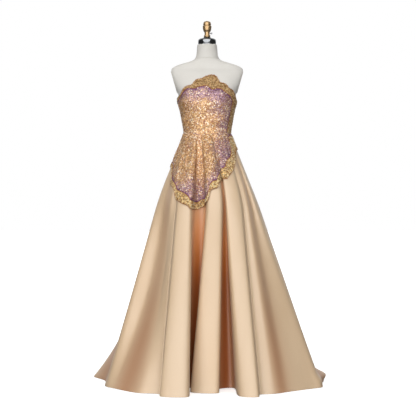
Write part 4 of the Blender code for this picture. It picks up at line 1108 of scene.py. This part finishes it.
def lace_band(name, point, lower, upper, a_start, a_end, da, free, seed, pitch=0.0125):
    """Lace between two level lines. free is -1 where its lower edge is the scalloped one, else 1."""
    draw = np.random.default_rng(seed)
    line = np.linspace(a_start, a_end, 1400)
    path = point(line, (lower(line) + upper(line)) / 2, 0.0)
    far = np.concatenate([[0], np.cumsum(np.linalg.norm(np.diff(path, axis=0), axis=1))])
    long = far[-1]
    bites = max(1, round(long / pitch))

    def at(distance):
        return np.interp(distance, far, line)

    def cut(a):
        """The free edge with its scallops."""
        bite = SCALLOP_DEPTH * scallop(np.interp(a, line, far), long / bites)
        return (lower(a) + bite, upper(a)) if free < 0 else (lower(a), upper(a) - bite)

    columns = at(np.linspace(0, long, max(40, round(long / 0.0022)) + 1))
    low, high = cut(columns)
    share = np.linspace(0, 1, 9)[:, None]
    grid = point(columns[None, :], low + (high - low) * share, NET_LIFT)
    net = shell(name, grid, NET_THICKNESS, LACE_NET)
    paint_wall(net, "edge", np.where((share == 0) | (share == 1), 1.0, 0.0) + 0.0 * grid[..., 0])
    free_edge, sign = (low, 1) if free < 0 else (high, -1)
    cords = [
        cord_along(point, columns, low + 0.0006, 0.0008, da, EDGE_CORD),
        cord_along(point, columns, high - 0.0006, 0.0008, da, EDGE_CORD),
        cord_along(point, columns, free_edge + sign * 0.0034, 0.0006, da, 0.0007, 4),
    ]
    marks = at(np.arange(0.004, long, BEAD_PITCH))
    edge = cut(marks)[0 if free < 0 else 1] + sign * 0.0020
    beads = [(point(marks, edge, 0.0010), np.full(len(marks), EDGE_BEAD))]
    row, rise = 0, FLOWER_PITCH * HEXAGON
    tallest = float((upper(line) - lower(line)).max())
    found = []
    while row * rise < tallest:
        offset = 0.0095 + row * rise
        a = at(np.arange(0.008 + (row % 2) * FLOWER_PITCH / 2, long - 0.006, FLOWER_PITCH))
        low_here, high_here = cut(a)
        z = low_here + offset if free < 0 else high_here - offset
        room = high_here - z if free < 0 else z - low_here
        found.append(np.stack([a, z, room], -1)[room > 0.0035])
        row += 1
    a, z, room = np.concatenate(found).T
    size = np.minimum(FLOWER_SIZE, room * 0.9) * draw.uniform(0.88, 1.05, len(a))
    turn = draw.uniform(0, 2 * math.pi, len(a))
    cords.append(flowers(point, a, z, 0.0008, da, size, 5, turn, FLOWER_CORD))
    large = size > BUD_FROM
    buds = a[large], z[large], 0.0011, da, size[large] * 0.45, 3, turn[large]
    cords.append(flowers(point, *buds, BUD_CORD, 18))
    beads.append((point(a, z, 0.0016), np.full(len(a), FLOWER_BEAD)))
    spots = int(long * tallest / 0.0055**2 * 0.9)
    a = at(draw.uniform(0.002, long - 0.002, spots))
    low, high = lower(a) + 0.003, upper(a) - 0.003
    z = lower(a).min() + draw.uniform(0, 1, spots) * (upper(a).max() - lower(a).min())
    stay = (z > low) & (z < high)
    beads.append((point(a[stay], z[stay], 0.0010), draw.uniform(*FREE_BEADS, int(stay.sum()))))
    keep_lace(name, net, long, grid, cords, beads)


def layer_on(surface, level):
    """The places that lie a level out from a surface, as a function of place and distance."""
    return lambda a, z, out: surface(a, z, level + out)


neck_point = layer_on(torso_offset, FORM_GAP + SEQUIN_CLOTH + TRIM_GAP + LACE / 2)
side_point = layer_on(torso_offset, FORM_GAP + SEQUIN_CLOTH + SIDE_TRIM_GAP + LACE / 2)
border_point = layer_on(skirt_offset, LAYER_GAP + OVERLAY_CLOTH + HIP_TRIM_GAP + LACE / 2)
inner_line, top_line = partial(neckline_line, "inner"), partial(neckline_line, "top")
lace_band("lace_neckline", neck_point, inner_line, lambda a: top_line(a) + 0.0005, -178.8, 178.8, 0.4, 1, 51)
for part, start, end in HIP_PIECES:
    lines = partial(overlay_line, "edge"), partial(overlay_line, "inner")
    ends = SEAM_AT[start] + 0.01, SEAM_AT[end] - 0.01
    lace_band("lace_border_" + part, border_point, *lines, *ends, 0.01, -1, 61)


def side_strip():
    """The strip down the left side. It runs down, so its long edges are the scalloped ones."""
    draw = np.random.default_rng(71)
    rows, columns = 70, 40
    share = np.linspace(0, 1, rows)[:, None]
    wave = SIDE_SCALLOP_DEG * np.abs(np.sin(share * math.pi * 11))
    wide = SIDE_STRIP_BACK - SIDE_STRIP_FRONT + 2 * wave
    bearings = SIDE_STRIP_FRONT - wave + wide * np.linspace(0, 1, columns)
    top = inner_line(bearings) - 0.0012
    z = BODICE_LOW_Z + 0.001 + (top - BODICE_LOW_Z - 0.001) * share
    grid = side_point(bearings, z, NET_LIFT)
    net = shell("lace_side", grid, NET_THICKNESS, LACE_NET)
    cords = [
        cord_along(side_point, bearings[:, column] + inset, z[:, column], 0.0008, 0.4, 0.0009)
        for column, inset in ((0, 0.3), (-1, -0.3), (0, 1.9), (-1, -1.9))
    ]
    marks = [
        (mark, level)
        for k, level in enumerate(np.arange(BODICE_LOW_Z + 0.009, 1.42, 0.0130))
        for mark in np.arange(SIDE_STRIP_FRONT + 5 + (k % 2) * 3.4, SIDE_STRIP_BACK - 4, 6.9)
    ]
    a, z = np.array(marks).T
    stay = z < inner_line(a) - 0.007
    a, z = a[stay], z[stay]
    size, turn = 0.0064 * draw.uniform(0.9, 1.05, len(a)), draw.uniform(0, 2 * math.pi, len(a))
    cords.append(flowers(side_point, a, z, 0.0008, 0.4, size, 5, turn, FLOWER_CORD))
    beads = [(side_point(a, z, 0.0016), np.full(len(a), FLOWER_BEAD))]
    a = draw.uniform(SIDE_STRIP_FRONT + 1, SIDE_STRIP_BACK - 1, 520)
    z = draw.uniform(BODICE_LOW_Z + 0.003, 1.42, 520)
    stay = z < inner_line(a) - 0.004
    beads.append((side_point(a[stay], z[stay], 0.0010), draw.uniform(*FREE_BEADS, int(stay.sum()))))
    keep_lace("lace_side", net, SIDE_STRIP_LENGTH, grid, cords, beads)


side_strip()


# Dress form and stand

NECK_SEAM_Z = 1.6262
FORM_LOW_Z = 0.9302

bearings = np.arange(-180, 180, 2.5)
levels = np.concatenate([[FORM_LOW_Z], np.linspace(0.9325, 1.52, 90), np.linspace(1.526, 1.695, 60)])
groove = -0.0012 * bump(levels, NECK_SEAM_Z - 0.0002, 0.0013)
grid = torso_offset(bearings[None, :], levels[:, None], groove[:, None])
torso = mesh_of("form_torso_cover", grid, grid_faces(*grid.shape[:2], 0, True), LINEN)
stand_for(sealed(torso), "linen", "form_torso")


def form_line(a, z, radius=0.0006):
    place = torso_offset(a, z, 0.0)
    return tube(place, unit(torso_offset(a, z, 0.001) - place), radius, 5)


ring = np.arange(-180, 180.1, 3.0)
back_seam = form_line(np.full(70, 180.0), np.linspace(1.378, NECK_SEAM_Z - 0.0007, 70))
neck_seam = form_line(ring, np.full(len(ring), NECK_SEAM_Z), 0.0007)
stand_for(sealed(mesh_of("form_seams", *gather([back_seam, neck_seam]), LINEN_THREAD)), "linen")

# Shares of the plate's radius and thickness, from its outer face's middle to its inner one's
PLATE_PROFILE = [(0.02, 1), (0.80, 1), (0.93, 0.92), (0.98, 0.7), (1.0, 0.3), (1.0, 0.0), (0.02, 0.0)]


def arm_plate(name, side):
    lean = math.atan(PLATE_LEAN)
    plane_x = PLATE_LOW_X + (PLATE_CENTRE_Z - PLATE_LOW_Z) * PLATE_LEAN
    radius, height = np.array(PLATE_PROFILE).T[:, :, None]
    angle = round_steps(64)
    out = height * PLATE_THICKNESS + SEAM_GAP + 0 * angle
    rise = radius * PLATE_HALF_HEIGHT * np.sin(angle)
    x = side * (out * math.cos(lean) + rise * math.sin(lean) + plane_x)
    y = radius * PLATE_HALF_DEPTH * np.cos(angle) + PLATE_Y
    z = rise * math.cos(lean) - out * math.sin(lean) + PLATE_CENTRE_Z
    faces = grid_faces(len(PLATE_PROFILE), len(angle), 0, True)
    piece = mesh_of(name, np.stack([x, y, z], -1), faces if side > 0 else faces[:, ::-1], BOARD)
    stand_for(sealed(piece), "plate_board", name)


arm_plate("form_arm_plate_left", 1)
arm_plate("form_arm_plate_right", -1)

# Neck cap: a side with a groove, a rounded edge and a low dome
cap = [(CAP_RADIUS - inset, CAP_LOW_Z + rise) for inset, rise in CAP_SIDE]
cap += [
    (CAP_RADIUS * (0.985 + 0.015 * math.cos(k * math.pi / 16)), CAP_SIDE_TOP_Z - 0.003 + 0.0012 * k / 4)
    for k in range(1, 8)
]
dome = CAP_TOP_Z - CAP_SIDE_TOP_Z
cap += [(CAP_RADIUS * share, CAP_SIDE_TOP_Z + dome * rise) for share, rise in CAP_DOME]
cap.append((0.012, CAP_TOP_Z - 0.0002))
stand_for(turned("neck_cap", cap, CHROME, 96), "chrome", "neck_cap")

heights, radii = (np.array([getattr(row, column) for row in FINIAL][::-1]) for column in ("height", "radius"))
fine = np.linspace(heights[0], heights[-1], 120)
profile = smooth_through(heights, radii, fine)
lift = FINIAL_LOW_Z + COLLAR_HEIGHT + SEAM_GAP - FINIAL[-1].height
profile[-6:] = 0.0080 * np.sqrt(np.clip(1 - np.linspace(0, 1, 6) ** 2, 0.0004, 1))  # a rounded tip
grooves = sum(0.0009 * bump(fine, at, 0.0010) for at in (0.0310, 0.0618, 0.0085))
rows = [(max(r, 0.0002), h + lift) for r, h in zip(profile - grooves, fine)]
stand_for(turned("finial", rows, BRASS, 96), "brass", "finial")
collar = [(r, h + FINIAL_LOW_Z) for r, h in COLLAR]
stand_for(turned("finial_collar", collar, BLACK, 64), "black_metal", "finial_collar")


def screw_head():
    """The small screw at the finial's side: a thin stem and a knurled head."""
    angle = round_steps(60)
    across = np.stack([np.cos(angle), np.sin(angle)], -1)
    rows = [(0.0, 0.0003, 0.0)]
    rows += [(height, radius, 0.00022 if radius >= SCREW_RADIUS else 0.0) for radius, height in SCREW]
    rows.append((SCREW_LENGTH, 0.0003, 0.0))
    grid = np.zeros((len(rows), len(angle), 3))
    for line, (height, radius, knurl) in zip(grid, rows):
        line[:, 0] = SCREW_SEAT_X + height
        line[:, 1:] = (radius - 0.0002 + knurl * np.cos(20 * angle))[:, None] * across
        line[:, 2] += SCREW_Z
    piece = mesh_of("finial_screw", grid, grid_faces(len(grid), len(angle), 0, True), CHROME)
    stand_for(sealed(piece), "chrome", "finial_screw")


screw_head()

# These solids already have the right shape
for node, look, slot in (
    ("stand_socket", BLACK, "black_metal"),
    ("stand_pole", CHROME, "chrome"),
    ("stand_base", BLACK, "black_metal"),
    ("zip_slider", BRASS, "brass"),
    ("zip_pull", BRASS, "brass"),
):
    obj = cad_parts[node]
    obj.data.materials.clear()
    obj.data.materials.append(look)


# Zip

TOOTH_PITCH, TOOTH = 0.0016, (0.0011, 0.0006, 0.00055)
TAPE_SHARES = (1, 0.5, 0, -0.5, -1)  # across the tape, which stands up a little along its middle
BOX_CORNERS = np.array([(x, y, z) for x in (-1, 1) for y in (-1, 1) for z in (-1, 1)], float)
BOX_FACES = np.array([(0, 1, 3, 2), (4, 6, 7, 5), (0, 4, 5, 1), (2, 3, 7, 6), (0, 2, 6, 4), (1, 5, 7, 3)])

levels = np.linspace(BODICE_LOW_Z + SEAM_GAP, 1.3975, 60)
y = torso_offset(180.0, levels, FORM_GAP + SEQUIN_CLOTH + TRIM_GAP)[:, 1]
tape = [
    [(side * ZIP_HALF_WIDTH * 1.9, back + (0.0 if abs(side) > 0.5 else 0.0006), z) for side in TAPE_SHARES]
    for back, z in zip(y, levels)
]
stand_for(shell("zip", np.array(tape), 0.0006, SATIN_LOOK), "champagne_satin", "zip")
teeth = []
for k, z in enumerate(np.arange(BODICE_LOW_Z + 0.003, SLIDER_Z - 0.006, TOOTH_PITCH)):
    place = (0.0006 if k % 2 else -0.0006, float(np.interp(z, levels, y)) + 0.0010, z)
    teeth.append((BOX_CORNERS * TOOTH + place, BOX_FACES))
stand_for(mesh_of("zip_teeth", *gather(teeth), BRASS, smooth=False), "brass")


# Sheets


BODICE_PARTS = ("front", "side_left", "side_right", "back_left", "back_right")
UNDER_LACE = {
    "lace_neckline": ["bodice_" + part for part in BODICE_PARTS],
    "lace_side": ["bodice_side_left"],
    "lace_border_front": ["overlay_front"],
    "lace_border_back_left": ["overlay_back_left"],
    "lace_border_back_right": ["overlay_back_right"],
}
for name, under in UNDER_LACE.items():
    net, long, work, grid = bands[name]
